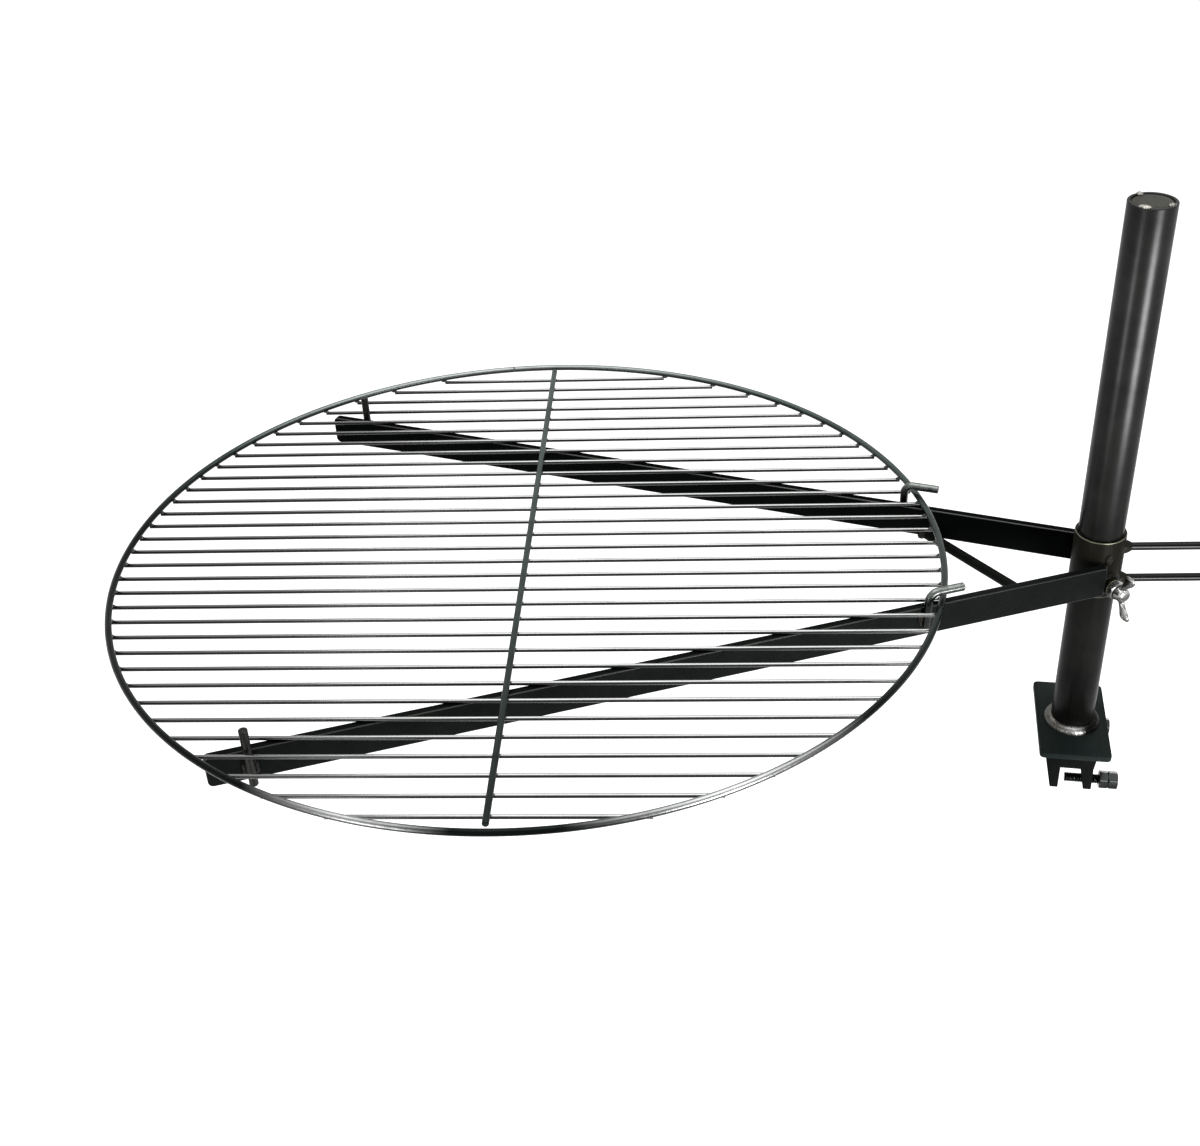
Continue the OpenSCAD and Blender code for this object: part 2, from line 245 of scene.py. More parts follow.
def block(name: str, low: Sequence[float], high: Sequence[float]) -> bpy.types.Object:
    """Adds a box between two corners, in millimetres."""
    deselect()
    middle = [(a + b) / 2 * MM for a, b in zip(low, high)]
    bpy.ops.mesh.primitive_cube_add(size=1, location=middle)
    piece = bpy.context.object
    piece.name = name
    piece.scale = [(b - a) * MM for a, b in zip(low, high)]
    bpy.ops.object.transform_apply(location=True, rotation=True, scale=True)
    return piece


def turned(name: str, profile: Sequence[tuple[float, float]], segments: int = 48,
           hollow: bool = False) -> bpy.types.Object:
    """Turns a profile about Z by extruding a ring from step to step.

    Args:
        name: The piece's name.
        profile: Radius and height of each ring, in millimetres, outside first.
        segments: Sides of each ring.
        hollow: True where the profile comes back to its first point.

    Returns:
        The closed mesh object.
    """
    deselect()
    radius, height = profile[0]
    bpy.ops.mesh.primitive_circle_add(vertices=segments, radius=radius * MM, location=(0, 0, height * MM))
    piece = bpy.context.object
    piece.name = name
    bpy.ops.object.transform_apply(location=True, rotation=True, scale=True)
    with Editing(piece, "EDGE") as edit:
        edit.everything()
        for new_radius, new_height in profile[1:]:
            bpy.ops.mesh.extrude_edges_move(
                TRANSFORM_OT_translate={"value": (0, 0, (new_height - height) * MM)})
            factor = new_radius / radius
            bpy.ops.transform.resize(value=(factor, factor, 1), center_override=(0, 0, new_height * MM))
            radius, height = new_radius, new_height
        edit.everything()
        bpy.ops.mesh.remove_doubles(threshold=1e-6)
        if not hollow:
            bpy.ops.mesh.select_all(action="DESELECT")
            bpy.ops.mesh.select_non_manifold()
            bpy.ops.mesh.fill_holes(sides=0)
    tidy_normals(piece)
    return piece


def move_points(piece: bpy.types.Object, rule: Callable[[Vector], Vector]) -> None:
    """Moves every vertex by a rule on its place, in millimetres.

    Args:
        piece: The mesh object.
        rule: Gives the new place of a point.
    """
    for vertex in piece.data.vertices:
        vertex.co = rule(vertex.co / MM) * MM
    piece.data.update()


# Frame of the object


def joint_named(name: str) -> dict:
    """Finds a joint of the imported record."""
    return next(j for j in frame["joints"] if j["name"] == name)


TIP_AXIS = Vector(joint_named("grate_tip")["axis"])
SWING = math.atan2(-TIP_AXIS.x, TIP_AXIS.y)
SWUNG = Matrix.Rotation(SWING, 4, "Z")


# Shader tools


class Graph:
    """A thin hand on a node tree, to add nodes and join them."""

    def __init__(self, tree: bpy.types.NodeTree) -> None:
        """Keeps the tree."""
        self.tree = tree

    def node(self, kind: str, **settings: object) -> bpy.types.Node:
        """Adds a node and sets its properties.

        Args:
            kind: Blender's name for the node.
            settings: Properties by name.

        Returns:
            The node.
        """
        made = self.tree.nodes.new(kind)
        for key, value in settings.items():
            setattr(made, key, value)
        return made

    def feed(self, node: bpy.types.Node, **inputs: object) -> bpy.types.Node:
        """Sets or links inputs, whose names have _ for spaces.

        Args:
            node: The node to feed.
            inputs: A socket to link from, or a value to set.

        Returns:
            The same node.
        """
        for key, value in inputs.items():
            socket = self.socket(node, key)
            if isinstance(value, bpy.types.NodeSocket):
                self.tree.links.new(value, socket)
            else:
                socket.default_value = value
        return node

    @staticmethod
    def socket(node: bpy.types.Node, key: str) -> bpy.types.NodeSocket:
        """Finds an enabled input by its name or its number."""
        if key[0] == "n" and key[1:].isdigit():
            return node.inputs[int(key[1:])]
        wanted = key.replace("_", " ").lower()
        return next(s for s in node.inputs if s.name.lower() == wanted and s.enabled)

    def maths(self, operation: str, a: object, b: object = 0.0, clamp: bool = False) -> bpy.types.NodeSocket:
        """Adds a Math node and gives its output."""
        made = self.node("ShaderNodeMath", operation=operation, use_clamp=clamp)
        self.feed(made, n0=a, n1=b)
        return made.outputs[0]

    def blend(self, factor: object, a: object, b: object) -> bpy.types.NodeSocket:
        """Adds a colour Mix node and gives its output."""
        made = self.node("ShaderNodeMix", data_type="RGBA")
        self.feed(made, n0=factor, n6=a, n7=b)
        return made.outputs[2]

    def remap(self, value: object, low: float, high: float, to_low: float = 0.0,
              to_high: float = 1.0) -> bpy.types.NodeSocket:
        """Adds a clamped Map Range node and gives its output."""
        made = self.node("ShaderNodeMapRange", clamp=True)
        self.feed(made, n0=value, n1=low, n2=high, n3=to_low, n4=to_high)
        return made.outputs[0]

    def length(self, coordinates: str) -> bpy.types.NodeSocket:
        """Gives the distance from the origin of the named texture coordinates."""
        made = self.node("ShaderNodeVectorMath", operation="LENGTH")
        self.feed(made, n0=self.node("ShaderNodeTexCoord").outputs[coordinates])
        return made.outputs["Value"]

    def noise(self, vector: object, scale: float, detail: float = 4.0, rough: float = 0.55) -> bpy.types.NodeSocket:
        """Adds a Noise Texture and gives its factor."""
        made = self.node("ShaderNodeTexNoise")
        self.feed(made, Vector=vector, Scale=scale, Detail=detail, Roughness=rough)
        return made.outputs[0]

    def stretched(self, vector: object, turn: Sequence[float], scale: Sequence[float]) -> bpy.types.NodeSocket:
        """Adds a Mapping node that turns and stretches a pattern."""
        made = self.node("ShaderNodeMapping", vector_type="POINT")
        self.feed(made, Vector=vector, Rotation=tuple(turn), Scale=tuple(scale))
        return made.outputs[0]


def new_group(name: str, inputs: Sequence[tuple[str, str, object]],
              outputs: Sequence[tuple[str, str]]) -> tuple[Graph, bpy.types.Node, bpy.types.Node]:
    """Starts a shader node group.

    Args:
        name: The group's name.
        inputs: Name, kind of socket and default of each input.
        outputs: Name and kind of socket of each output.

    Returns:
        A hand on the group, its input node and its output node.
    """
    tree = bpy.data.node_groups.new(name, "ShaderNodeTree")
    for label, kind, default in inputs:
        socket = tree.interface.new_socket(label, in_out="INPUT", socket_type="NodeSocket" + kind)
        socket.default_value = default
    for label, kind in outputs:
        tree.interface.new_socket(label, in_out="OUTPUT", socket_type="NodeSocket" + kind)
    graph = Graph(tree)
    return graph, graph.node("NodeGroupInput"), graph.node("NodeGroupOutput")


def edge_wear_group() -> bpy.types.NodeTree:
    """Builds the mask of rubbed edges: the bevel faces, broken up by noise.

    Returns:
        The group, which puts out Mask from 0 to 1.
    """
    graph, _, end = new_group("edge_wear", [("Amount", "Float", 0.5), ("Scale", "Float", 160.0)],
                              [("Mask", "Float")])
    start = graph.tree.nodes[0]
    place = graph.node("ShaderNodeTexCoord").outputs["Object"]
    edge = graph.node("ShaderNodeAttribute", attribute_name="edge").outputs["Fac"]
    cloud = graph.node("ShaderNodeTexNoise")
    graph.feed(cloud, Vector=place, Scale=start.outputs["Scale"], Detail=5.0, Roughness=0.6)
    level = graph.maths("ADD", cloud.outputs[0], graph.maths("SUBTRACT", start.outputs["Amount"], 0.5))
    rubbed = graph.remap(level, 0.45, 0.6)
    graph.feed(end, Mask=graph.maths("MULTIPLY", edge, rubbed))
    return graph.tree


def mottle_group() -> bpy.types.NodeTree:
    """Builds slow patches with fine grain in them, for paint, scale and plating.

    Returns:
        The group, which puts out Patches, Grain and Specks from 0 to 1.
    """
    graph, _, end = new_group("mottle", [("Patch Scale", "Float", 18.0), ("Grain Scale", "Float", 700.0)],
                              [("Patches", "Float"), ("Grain", "Float"), ("Specks", "Float")])
    start = graph.tree.nodes[0]
    place = graph.node("ShaderNodeTexCoord").outputs["Object"]
    slow = graph.node("ShaderNodeTexNoise")
    graph.feed(slow, Vector=place, Scale=start.outputs["Patch Scale"], Detail=6.0, Roughness=0.62)
    fine = graph.node("ShaderNodeTexNoise")
    graph.feed(fine, Vector=place, Scale=start.outputs["Grain Scale"], Detail=3.0, Roughness=0.6)
    specks = graph.remap(fine.outputs[0], 0.68, 0.74)
    graph.feed(end, Patches=slow.outputs[0], Grain=fine.outputs[0], Specks=specks)
    return graph.tree


def drawn_group() -> bpy.types.NodeTree:
    """Builds fine lines along a direction, for rolled, drawn and brushed metal.

    Returns:
        The group, which takes a vector already turned so that X runs along the lines, and puts out Lines.
    """
    graph, _, end = new_group("drawn_lines", [("Vector", "Vector", (0.0, 0.0, 0.0)), ("Fineness", "Float", 900.0),
                                              ("Stretch", "Float", 0.02)], [("Lines", "Float")])
    start = graph.tree.nodes[0]
    parts = graph.node("ShaderNodeSeparateXYZ")
    graph.feed(parts, n0=start.outputs["Vector"])
    long_way = graph.maths("MULTIPLY", parts.outputs[0], start.outputs["Stretch"])
    back = graph.node("ShaderNodeCombineXYZ")
    graph.feed(back, n0=long_way, n1=parts.outputs[1], n2=parts.outputs[2])
    lines = graph.node("ShaderNodeTexNoise")
    graph.feed(lines, Vector=back.outputs[0], Scale=start.outputs["Fineness"], Detail=3.0, Roughness=0.7)
    graph.feed(end, Lines=lines.outputs[0])
    return graph.tree


@dataclass
class Effects:
    """The shared shader groups, built once."""

    wear: bpy.types.NodeTree
    mottle: bpy.types.NodeTree
    drawn: bpy.types.NodeTree

    @classmethod
    def build(cls) -> "Effects":
        """Builds the three groups."""
        return cls(edge_wear_group(), mottle_group(), drawn_group())


class Along(Enum):
    """Direction in which a surface was rolled or drawn, as a turn of the pattern."""

    POST = (0.0, math.pi / 2, 0.0)
    RIM = (0.0, 0.0, math.pi / 2)
    GRATE = (0.0, 0.0, -SWING)
    ACROSS = (0.0, 0.0, math.pi / 2 - SWING)


@dataclass(frozen=True)
class PaintFinish:
    """Thin dark paint on steel, rubbed to metal at the edges."""

    name: str
    dark: tuple[float, float, float]
    light: tuple[float, float, float]
    rough_low: float
    rough_high: float
    wear: float
    along: Along
    bare: tuple[float, float, float] = (0.10, 0.10, 0.095)
    grain: float = 0.25
    gloss: float = 0.2
    # Painted shade: coat weight rising with height, so the gloss fades downwards; low and high weight, and the heights
    # in metres where it starts and is full.
    painted_shade_coat: tuple[float, float, float, float] = (0.0, 0.0, 0.0, 1.0)

    def material(self, effects: Effects) -> bpy.types.Material:
        """Builds the material.

        Args:
            effects: The shared groups.

        Returns:
            The material.
        """
        material = bpy.data.materials.new(self.name)
        material.use_nodes = True
        graph = Graph(material.node_tree)
        shader = material.node_tree.nodes["Principled BSDF"]
        mottle = graph.node("ShaderNodeGroup", node_tree=effects.mottle)
        graph.feed(mottle, Patch_Scale=16.0, Grain_Scale=620.0)
        wear = graph.node("ShaderNodeGroup", node_tree=effects.wear)
        graph.feed(wear, Amount=self.wear, Scale=170.0)
        place = graph.node("ShaderNodeTexCoord").outputs["Object"]
        drawn = graph.node("ShaderNodeGroup", node_tree=effects.drawn)
        graph.feed(drawn, Vector=graph.stretched(place, self.along.value, (1, 1, 1)), Fineness=420.0, Stretch=0.03)
        patches = graph.remap(mottle.outputs["Patches"], 0.35, 0.7)
        lines = graph.remap(drawn.outputs["Lines"], 0.35, 0.7)
        tone = graph.maths("ADD", graph.maths("MULTIPLY", patches, 0.65), graph.maths("MULTIPLY", lines, 0.35))
        paint = graph.blend(tone, (*self.dark, 1), (*self.light, 1))
        colour = graph.blend(wear.outputs[0], paint, (*self.bare, 1))
        rough = graph.remap(tone, 0.0, 1.0, self.rough_high, self.rough_low)
        height = graph.maths("ADD", graph.maths("MULTIPLY", mottle.outputs["Grain"], 0.7),
                             graph.maths("MULTIPLY", drawn.outputs["Lines"], 0.5))
        height = graph.maths("SUBTRACT", height, graph.maths("MULTIPLY", wear.outputs[0], 0.6))
        bump = graph.node("ShaderNodeBump")
        graph.feed(bump, Strength=self.grain, Distance=0.00025, Height=height)
        graph.feed(shader, Base_Color=colour, Roughness=rough, Metallic=wear.outputs[0],
                   Normal=bump.outputs[0], Specular_IOR_Level=self.gloss)
        # Painted shade: the coat thins towards the foot, dimming the lower post's gloss.
        low, high, start, full = self.painted_shade_coat
        if high:
            parts = graph.node("ShaderNodeSeparateXYZ")
            graph.feed(parts, n0=place)
            coat = graph.maths("MULTIPLY", graph.remap(parts.outputs[2], start, full, low, high),
                               graph.remap(mottle.outputs["Patches"], 0.35, 0.65, 0.72, 1.28))
            graph.feed(shader, Coat_Weight=coat, Coat_Roughness=0.31)
        return material


@dataclass(frozen=True)
class MetalFinish:
    """Bare or plated metal with grain, patches and dirt, and where asked painted shade and painted highlights."""

    name: str
    base: tuple[float, float, float]
    dirt: tuple[float, float, float]
    rough_low: float
    rough_high: float
    dirt_share: float
    along: Along
    fineness: float = 900.0
    patch_scale: float = 60.0
    bump: float = 0.2
    # Painted shade on faces turned down: share, and the values of the attribute under where it starts and is full.
    under: tuple[float, float, float] = (0.0, 0.2, 0.4)
    # Painted shade along a level direction: share, x and y weights, and the distances in metres where it starts and is
    # full.
    shade: tuple[float, float, float, float, float] = (0.0, 0.0, 0.0, 0.0, 1.0)
    rubbed: float = 0.0
    # Strength of the painted highlight on stretches marked on the mesh.
    painted_highlight: float = 0.0

    def material(self, effects: Effects) -> bpy.types.Material:
        """Builds the material.

        Args:
            effects: The shared groups.

        Returns:
            The material.
        """
        material = bpy.data.materials.new(self.name)
        material.use_nodes = True
        graph = Graph(material.node_tree)
        shader = material.node_tree.nodes["Principled BSDF"]
        mottle = graph.node("ShaderNodeGroup", node_tree=effects.mottle)
        graph.feed(mottle, Patch_Scale=self.patch_scale, Grain_Scale=1100.0)
        place = graph.node("ShaderNodeTexCoord").outputs["Object"]
        drawn = graph.node("ShaderNodeGroup", node_tree=effects.drawn)
        graph.feed(drawn, Vector=graph.stretched(place, self.along.value, (1, 1, 1)), Fineness=self.fineness,
                   Stretch=0.025)
        dirty = graph.remap(mottle.outputs["Patches"], 0.62 - 0.4 * self.dirt_share, 0.78 - 0.4 * self.dirt_share)
        dirty = graph.maths("MULTIPLY", dirty, graph.remap(mottle.outputs["Grain"], 0.2, 0.6), clamp=True)
        colour = graph.blend(dirty, (*self.base, 1), (*self.dirt, 1))
        # Painted shade colour: the base darkened, for the shaded side and the faces turned down.
        painted_shade_colour = tuple(0.03 * part for part in self.base)
        # Painted shade along a level direction.
        share, x_way, y_way, start, full = self.shade
        if share:
            parts = graph.node("ShaderNodeSeparateXYZ")
            graph.feed(parts, n0=place)
            way = graph.maths("ADD", graph.maths("MULTIPLY", parts.outputs[0], x_way),
                              graph.maths("MULTIPLY", parts.outputs[1], y_way))
            colour = graph.blend(graph.maths("MULTIPLY", graph.remap(way, start, full), share), colour, (*painted_shade_colour, 1))
        # Painted highlight: lightens the marked stretches towards pale grey.
        if self.painted_highlight:
            painted_highlight = graph.node("ShaderNodeAttribute", attribute_name="painted_highlight").outputs["Fac"]
            colour = graph.blend(graph.maths("MULTIPLY", painted_highlight, self.painted_highlight), colour, (0.72, 0.73, 0.72, 1))
        # Painted shade on the faces turned down.
        share, start, full = self.under
        if share:
            under = graph.node("ShaderNodeAttribute", attribute_name="under").outputs["Fac"]
            under = graph.maths("MULTIPLY", graph.remap(under, start, full), share)
            colour = graph.blend(under, colour, (*painted_shade_colour, 1))
        if self.rubbed:
            wear = graph.node("ShaderNodeGroup", node_tree=effects.wear)
            graph.feed(wear, Amount=0.75, Scale=170.0)
            colour = graph.blend(graph.maths("MULTIPLY", wear.outputs[0], self.rubbed), colour, (0.5, 0.5, 0.49, 1))
        rough = graph.remap(drawn.outputs["Lines"], 0.3, 0.7, self.rough_low, self.rough_high)
        rough = graph.maths("ADD", rough, graph.maths("MULTIPLY", dirty, 0.15), clamp=True)
        height = graph.maths("ADD", drawn.outputs["Lines"], graph.maths("MULTIPLY", mottle.outputs["Grain"], 0.4))
        bump = graph.node("ShaderNodeBump")
        graph.feed(bump, Strength=self.bump, Distance=0.0002, Height=height)
        graph.feed(shader, Base_Color=colour, Roughness=rough, Metallic=1.0, Normal=bump.outputs[0])
        return material


class Finish(Enum):
    """Every finish on the object."""

    # The post's coat fades towards its foot, as painted shade.
    POST_PAINT = PaintFinish("post_paint", (0.0012, 0.0012, 0.0012), (0.0055, 0.0055, 0.005), 0.24, 0.36, 0.25,
                             Along.POST, grain=0.12, gloss=0.012, painted_shade_coat=(0.07, 0.37, 0.20, 0.42))
    CAP_PAINT = PaintFinish("cap_paint", (0.022, 0.022, 0.017), (0.042, 0.041, 0.033), 0.35, 0.5, 0.50, Along.RIM,
                            gloss=0.08)
    SLEEVE_PAINT = PaintFinish("sleeve_paint", (0.003, 0.0029, 0.002), (0.0085, 0.008, 0.0058), 0.34, 0.52, 0.75,
                               Along.POST, bare=(0.10, 0.10, 0.075), gloss=0.025)
    ARM_PAINT = PaintFinish("arm_paint", (0.0017, 0.0021, 0.0021), (0.0052, 0.006, 0.006), 0.36, 0.56, 0.80,
                            Along.GRATE, bare=(0.028, 0.029, 0.027), gloss=0.018)
    # Painted shade: a darker copy of the arm paint for the far arm, which lies in shade.
    FAR_SHADED_PAINT = PaintFinish("far_shaded_paint", (0.0006, 0.0008, 0.0008), (0.002, 0.0024, 0.0022), 0.40, 0.60, 0.80,
                            Along.GRATE, bare=(0.06, 0.062, 0.059), gloss=0.008)
    PLATE_PAINT = PaintFinish("plate_paint", (0.0045, 0.0072, 0.0067), (0.0105, 0.0148, 0.0137), 0.34, 0.55, 0.15,
                              Along.RIM, bare=(0.05, 0.05, 0.048), gloss=0.03)
    FORK_PAINT = PaintFinish("fork_paint", (0.001, 0.0014, 0.0013), (0.0035, 0.0044, 0.004), 0.36, 0.55, 0.15,
                             Along.RIM, bare=(0.05, 0.05, 0.048), gloss=0.02)
    ROD_PAINT = PaintFinish("rod_paint", (0.002, 0.0025, 0.002), (0.007, 0.0078, 0.0068), 0.35, 0.60, 0.30, Along.GRATE,
                            grain=0.5, gloss=0.02)
    HANDLE_PAINT = PaintFinish("handle_paint", (0.001, 0.001, 0.001), (0.003, 0.003, 0.0027), 0.10, 0.18, 0.30,
                               Along.GRATE, grain=0.06, gloss=0.10)
    PAINTED_WELD = PaintFinish("painted_weld", (0.003, 0.003, 0.0025), (0.014, 0.0125, 0.010), 0.25, 0.45, 0.60,
                               Along.RIM, grain=0.6, gloss=0.06)
    # Painted shade on the faces turned down of the hooks, lock nut, wing screw, clamp bolts and nuts below.
    HOOK_ZINC = MetalFinish("hook_zinc", (0.13, 0.14, 0.132), (0.035, 0.038, 0.034), 0.18, 0.36, 0.3, Along.GRATE,
                            fineness=500.0, patch_scale=110.0, under=(0.9, 0.22, 0.45))
    NUT_ZINC = MetalFinish("nut_zinc", (0.38, 0.385, 0.375), (0.03, 0.03, 0.027), 0.18, 0.36, 0.3, Along.GRATE,
                           fineness=500.0, patch_scale=150.0, under=(0.85, 0.34, 0.56), rubbed=0.35)
    WING_ZINC = MetalFinish("wing_zinc", (0.55, 0.555, 0.54), (0.07, 0.07, 0.065), 0.16, 0.30, 0.5, Along.GRATE,
                            fineness=500.0, patch_scale=190.0, under=(0.85, 0.30, 0.52))
    DULL_ZINC = MetalFinish("dull_zinc", (0.017, 0.019, 0.018), (0.085, 0.09, 0.086), 0.14, 0.26, 0.1, Along.RIM,
                            fineness=600.0, patch_scale=260.0, under=(0.8, 0.45, 0.7), rubbed=0.4)
    PEG_STEEL = MetalFinish("peg_steel", (0.014, 0.014, 0.013), (0.13, 0.13, 0.12), 0.28, 0.5, -0.05, Along.POST,
                            fineness=600.0, patch_scale=300.0)
    # Painted shadow on the weld's right side and a painted highlight at its front.
    FOOT_WELD = MetalFinish("foot_weld_metal", (0.10, 0.098, 0.092), (0.030, 0.023, 0.017), 0.22, 0.42, 0.40, Along.RIM,
                            fineness=400.0, patch_scale=110.0, bump=0.4, shade=(0.985, 1.0, -0.2, -0.006, 0.018),
                            painted_highlight=0.3)
    SPOT_WELD = MetalFinish("spot_weld_metal", (0.055, 0.060, 0.057), (0.025, 0.025, 0.022), 0.28, 0.5, 0.3, Along.RIM,
                            fineness=400.0, patch_scale=90.0, bump=0.3)
    TACK = MetalFinish("tack_metal", (0.24, 0.235, 0.21), (0.08, 0.078, 0.065), 0.22, 0.42, 0.4, Along.RIM,
                       fineness=400.0, patch_scale=200.0, bump=0.3)
    # Painted shade on the ring's undersides and near side, and painted highlights on marked stretches.
    RING_STEEL = MetalFinish("ring_steel", (0.060, 0.077, 0.072), (0.036, 0.047, 0.044), 0.20, 0.38, 0.3, Along.GRATE,
                             fineness=700.0, patch_scale=30.0, under=(0.9, 0.22, 0.5),
                             shade=(0.93, -0.25, -1.0, -0.05, 0.32), painted_highlight=0.42)
    # Painted shade towards the cross wire's near end.
    CROSS_STEEL = MetalFinish("cross_steel", (0.060, 0.082, 0.076), (0.032, 0.044, 0.040), 0.24, 0.45, 0.3,
                              Along.ACROSS, fineness=700.0, patch_scale=30.0, shade=(0.8, 0.0, -1.0, -0.15, 0.42))
    # Painted shade on the wires' undersides and towards their ends away from the post.
    WIRE_STEEL = MetalFinish("wire_steel", (0.27, 0.276, 0.27), (0.20, 0.206, 0.20), 0.16, 0.30, 0.15, Along.GRATE,
                             fineness=1400.0, patch_scale=10.0, bump=0.06, under=(0.94, 0.10, 0.26),
                             shade=(0.55, -1.0, 0.0, 0.55, 0.95))


class Workshop:
    """Holds the finishes and hands pieces to their bodies."""

    def __init__(self) -> None:
        """Builds every material once."""
        effects = Effects.build()
        self.materials = {finish: finish.value.material(effects) for finish in Finish}

    def dress(self, piece: bpy.types.Object, finish: Finish) -> None:
        """Gives a piece one finish all over."""
        piece.data.materials.clear()
        piece.data.materials.append(self.materials[finish])

    def hand_over(self, piece: bpy.types.Object, finish: Finish, body: str, slot: str,
                  instead_of: Iterable[str] = ()) -> None:
        """Dresses a new piece and lets it ride on its body.

        Args:
            piece: The finished mesh object, with its place in its mesh.
            finish: Its finish.
            body: The body that it moves with.
            slot: The record's slot; not used.
            instead_of: CAD nodes that it stands for.
        """
        mark_under(piece)
        self.dress(piece, finish)
        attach(piece, body)
        nodes = tuple(instead_of)
        if nodes:
            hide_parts(*nodes)
        log.info("%s: %d faces on %s", piece.name, len(piece.data.polygons), body)

    def carry_over(self, node: str, finish: Finish) -> None:
        """Gives a CAD node its finish."""
        material = self.materials[finish]
        holder = frame["nodes"][node]
        if holder.material_slots:
            for slot in holder.material_slots:
                slot.material = material
        else:
            holder.data.materials.append(material)
        log.info("%s: carried over", node)


# Studio


@dataclass
class Studio:
    """Camera, lamps, floor and background."""

    image_width: int = 1200
    image_height: int = 1146
    focal_pixels: float = 1569.7
    camera_at: Point = (-0.22613, -1.32333, 1.06574)
    heading: float = 11.19
    pitch_down: float = 33.56
    roll: float = -2.94
    floor_z: float = -0.70

    def camera(self) -> None:
        """Makes the camera of the photograph."""
        data = bpy.data.cameras.new("camera")
        data.sensor_fit = "HORIZONTAL"
        data.sensor_width = 36.0
        data.lens = data.sensor_width * self.focal_pixels / self.image_width
        data.clip_end = 50.0
        camera = bpy.data.objects.new("camera", data)
        bpy.context.scene.collection.objects.link(camera)
        turn = (Matrix.Rotation(math.radians(self.heading), 4, "Z")
                @ Matrix.Rotation(math.radians(90 - self.pitch_down), 4, "X")
                @ Matrix.Rotation(math.radians(self.roll), 4, "Z"))
        camera.matrix_world = Matrix.Translation(self.camera_at) @ turn
        bpy.context.scene.camera = camera

    def lamp(self, name: str, at: Point, size: tuple[float, float], power: float, aim: Point) -> None:
        """Hangs one soft box.

        Args:
            name: Its name.
            at: Its place in metres.
            size: Its width and height in metres.
            power: Its power in watts.
            aim: The point that it faces.
        """
        data = bpy.data.lights.new(name, "AREA")
        data.shape = "RECTANGLE"
        data.size, data.size_y = size
        data.energy = power
        lamp = bpy.data.objects.new(name, data)
        bpy.context.scene.collection.objects.link(lamp)
        lamp.location = at
        lamp.visible_camera = False
        lamp.rotation_euler = (Vector(aim) - Vector(at)).to_track_quat("-Z", "Y").to_euler()

    def lamps(self) -> None:
        """Hangs the soft boxes: one over the grate, and upright ones that draw the lines on the post."""
        self.lamp("top_box", (-0.15, 0.25, 2.45), (3.0, 2.4), 72.0, (-0.15, 0.25, 0.2))
        self.lamp("post_box", (0.753, -1.18, 0.08), (0.50, 0.58), 38.0, (0.0, 0.0, 0.3))
        self.lamp("thin_box", (-0.881, -1.088, 0.08), (0.22, 0.58), 6.0, (0.0, 0.0, 0.3))

    def world(self) -> None:
        """Lights the room evenly, and shows white behind the object and in its gloss."""
        world = bpy.data.worlds.new("room")
        world.use_nodes = True
        bpy.context.scene.world = world
        graph = Graph(world.node_tree)
        ground = world.node_tree.nodes["Background"]
        path = graph.node("ShaderNodeLightPath")
        seen = graph.maths("ADD", path.outputs["Is Camera Ray"], path.outputs["Is Glossy Ray"], clamp=True)
        seen = graph.maths("ADD", seen, path.outputs["Is Transmission Ray"], clamp=True)
        graph.feed(ground, Color=(1, 1, 1, 1), Strength=graph.remap(seen, 0.0, 1.0, 0.25, 1.0))

    def floor(self) -> None:
        """Lays a plain pale floor that shows white and keeps the object's shadow."""
        deselect()
        bpy.ops.mesh.primitive_plane_add(size=16.0, location=(0, 0, self.floor_z))
        floor = bpy.context.object
        floor.name = "floor"
        bpy.ops.object.transform_apply(location=True, rotation=True, scale=True)
        material = bpy.data.materials.new("floor_white")
        material.use_nodes = True
        graph = Graph(material.node_tree)
        shader = material.node_tree.nodes["Principled BSDF"]
        path = graph.node("ShaderNodeLightPath")
        seen = graph.maths("ADD", path.outputs["Is Camera Ray"], path.outputs["Is Glossy Ray"], clamp=True)
        graph.feed(shader, Base_Color=(0.86, 0.86, 0.86, 1), Roughness=0.9, Specular_IOR_Level=0.0)
        shader.inputs["Emission Color"].default_value = (1, 1, 1, 1)
        away = graph.maths("POWER", graph.maths("DIVIDE", graph.length("Object"), 5.0, clamp=True), 0.8)
        graph.feed(shader, Emission_Strength=graph.maths("MULTIPLY", seen, graph.remap(away, 0.1, 1.0, 0.62, 0.85)))
        floor.data.materials.append(material)

    def build(self) -> None:
        """Sets up the whole studio."""
        scene = bpy.context.scene
        scene.view_settings.view_transform = "Standard"
        self.camera()
        self.lamps()
        self.world()
        self.floor()


# New pieces


def edge_between(edge: bmesh.types.BMEdge, test: Callable[[Vector], bool]) -> bool:
    """Says whether both ends of an edge pass a test on their places, in millimetres."""
    return all(test(v.co / MM) for v in edge.verts)


def near(value: float, wanted: float, slack: float = 0.02) -> bool:
    """Says whether two lengths are the same but for a little."""
    return abs(value - wanted) < slack


def cut_with(piece: bpy.types.Object, cutter: bpy.types.Object, operation: str = "DIFFERENCE") -> None:
    """Applies a boolean with a cutter and takes the cutter away."""
    apply_modifier(piece, "BOOLEAN", object=cutter, operation=operation, solver="EXACT")
    bpy.data.objects.remove(cutter, do_unlink=True)


def rod(name: str, radius: float, low: float, high: float, rounding: float = 0.6,
        sides: int = 28) -> bpy.types.Object:
    """Adds a straight rod along Z whose cut ends are eased.

    Args:
        name: The piece's name.
        radius: Its radius in millimetres.
        low: Height of its lower end.
        high: Height of its upper end.
        rounding: How much is eased off each end.
        sides: Faces round it.

    Returns:
        The mesh object.
    """
    third = rounding * 0.3
    return turned(name, [(radius - rounding, low), (radius - third, low + third), (radius, low + rounding),
                         (radius, high - rounding), (radius - third, high - third),
                         (radius - rounding, high)], sides)


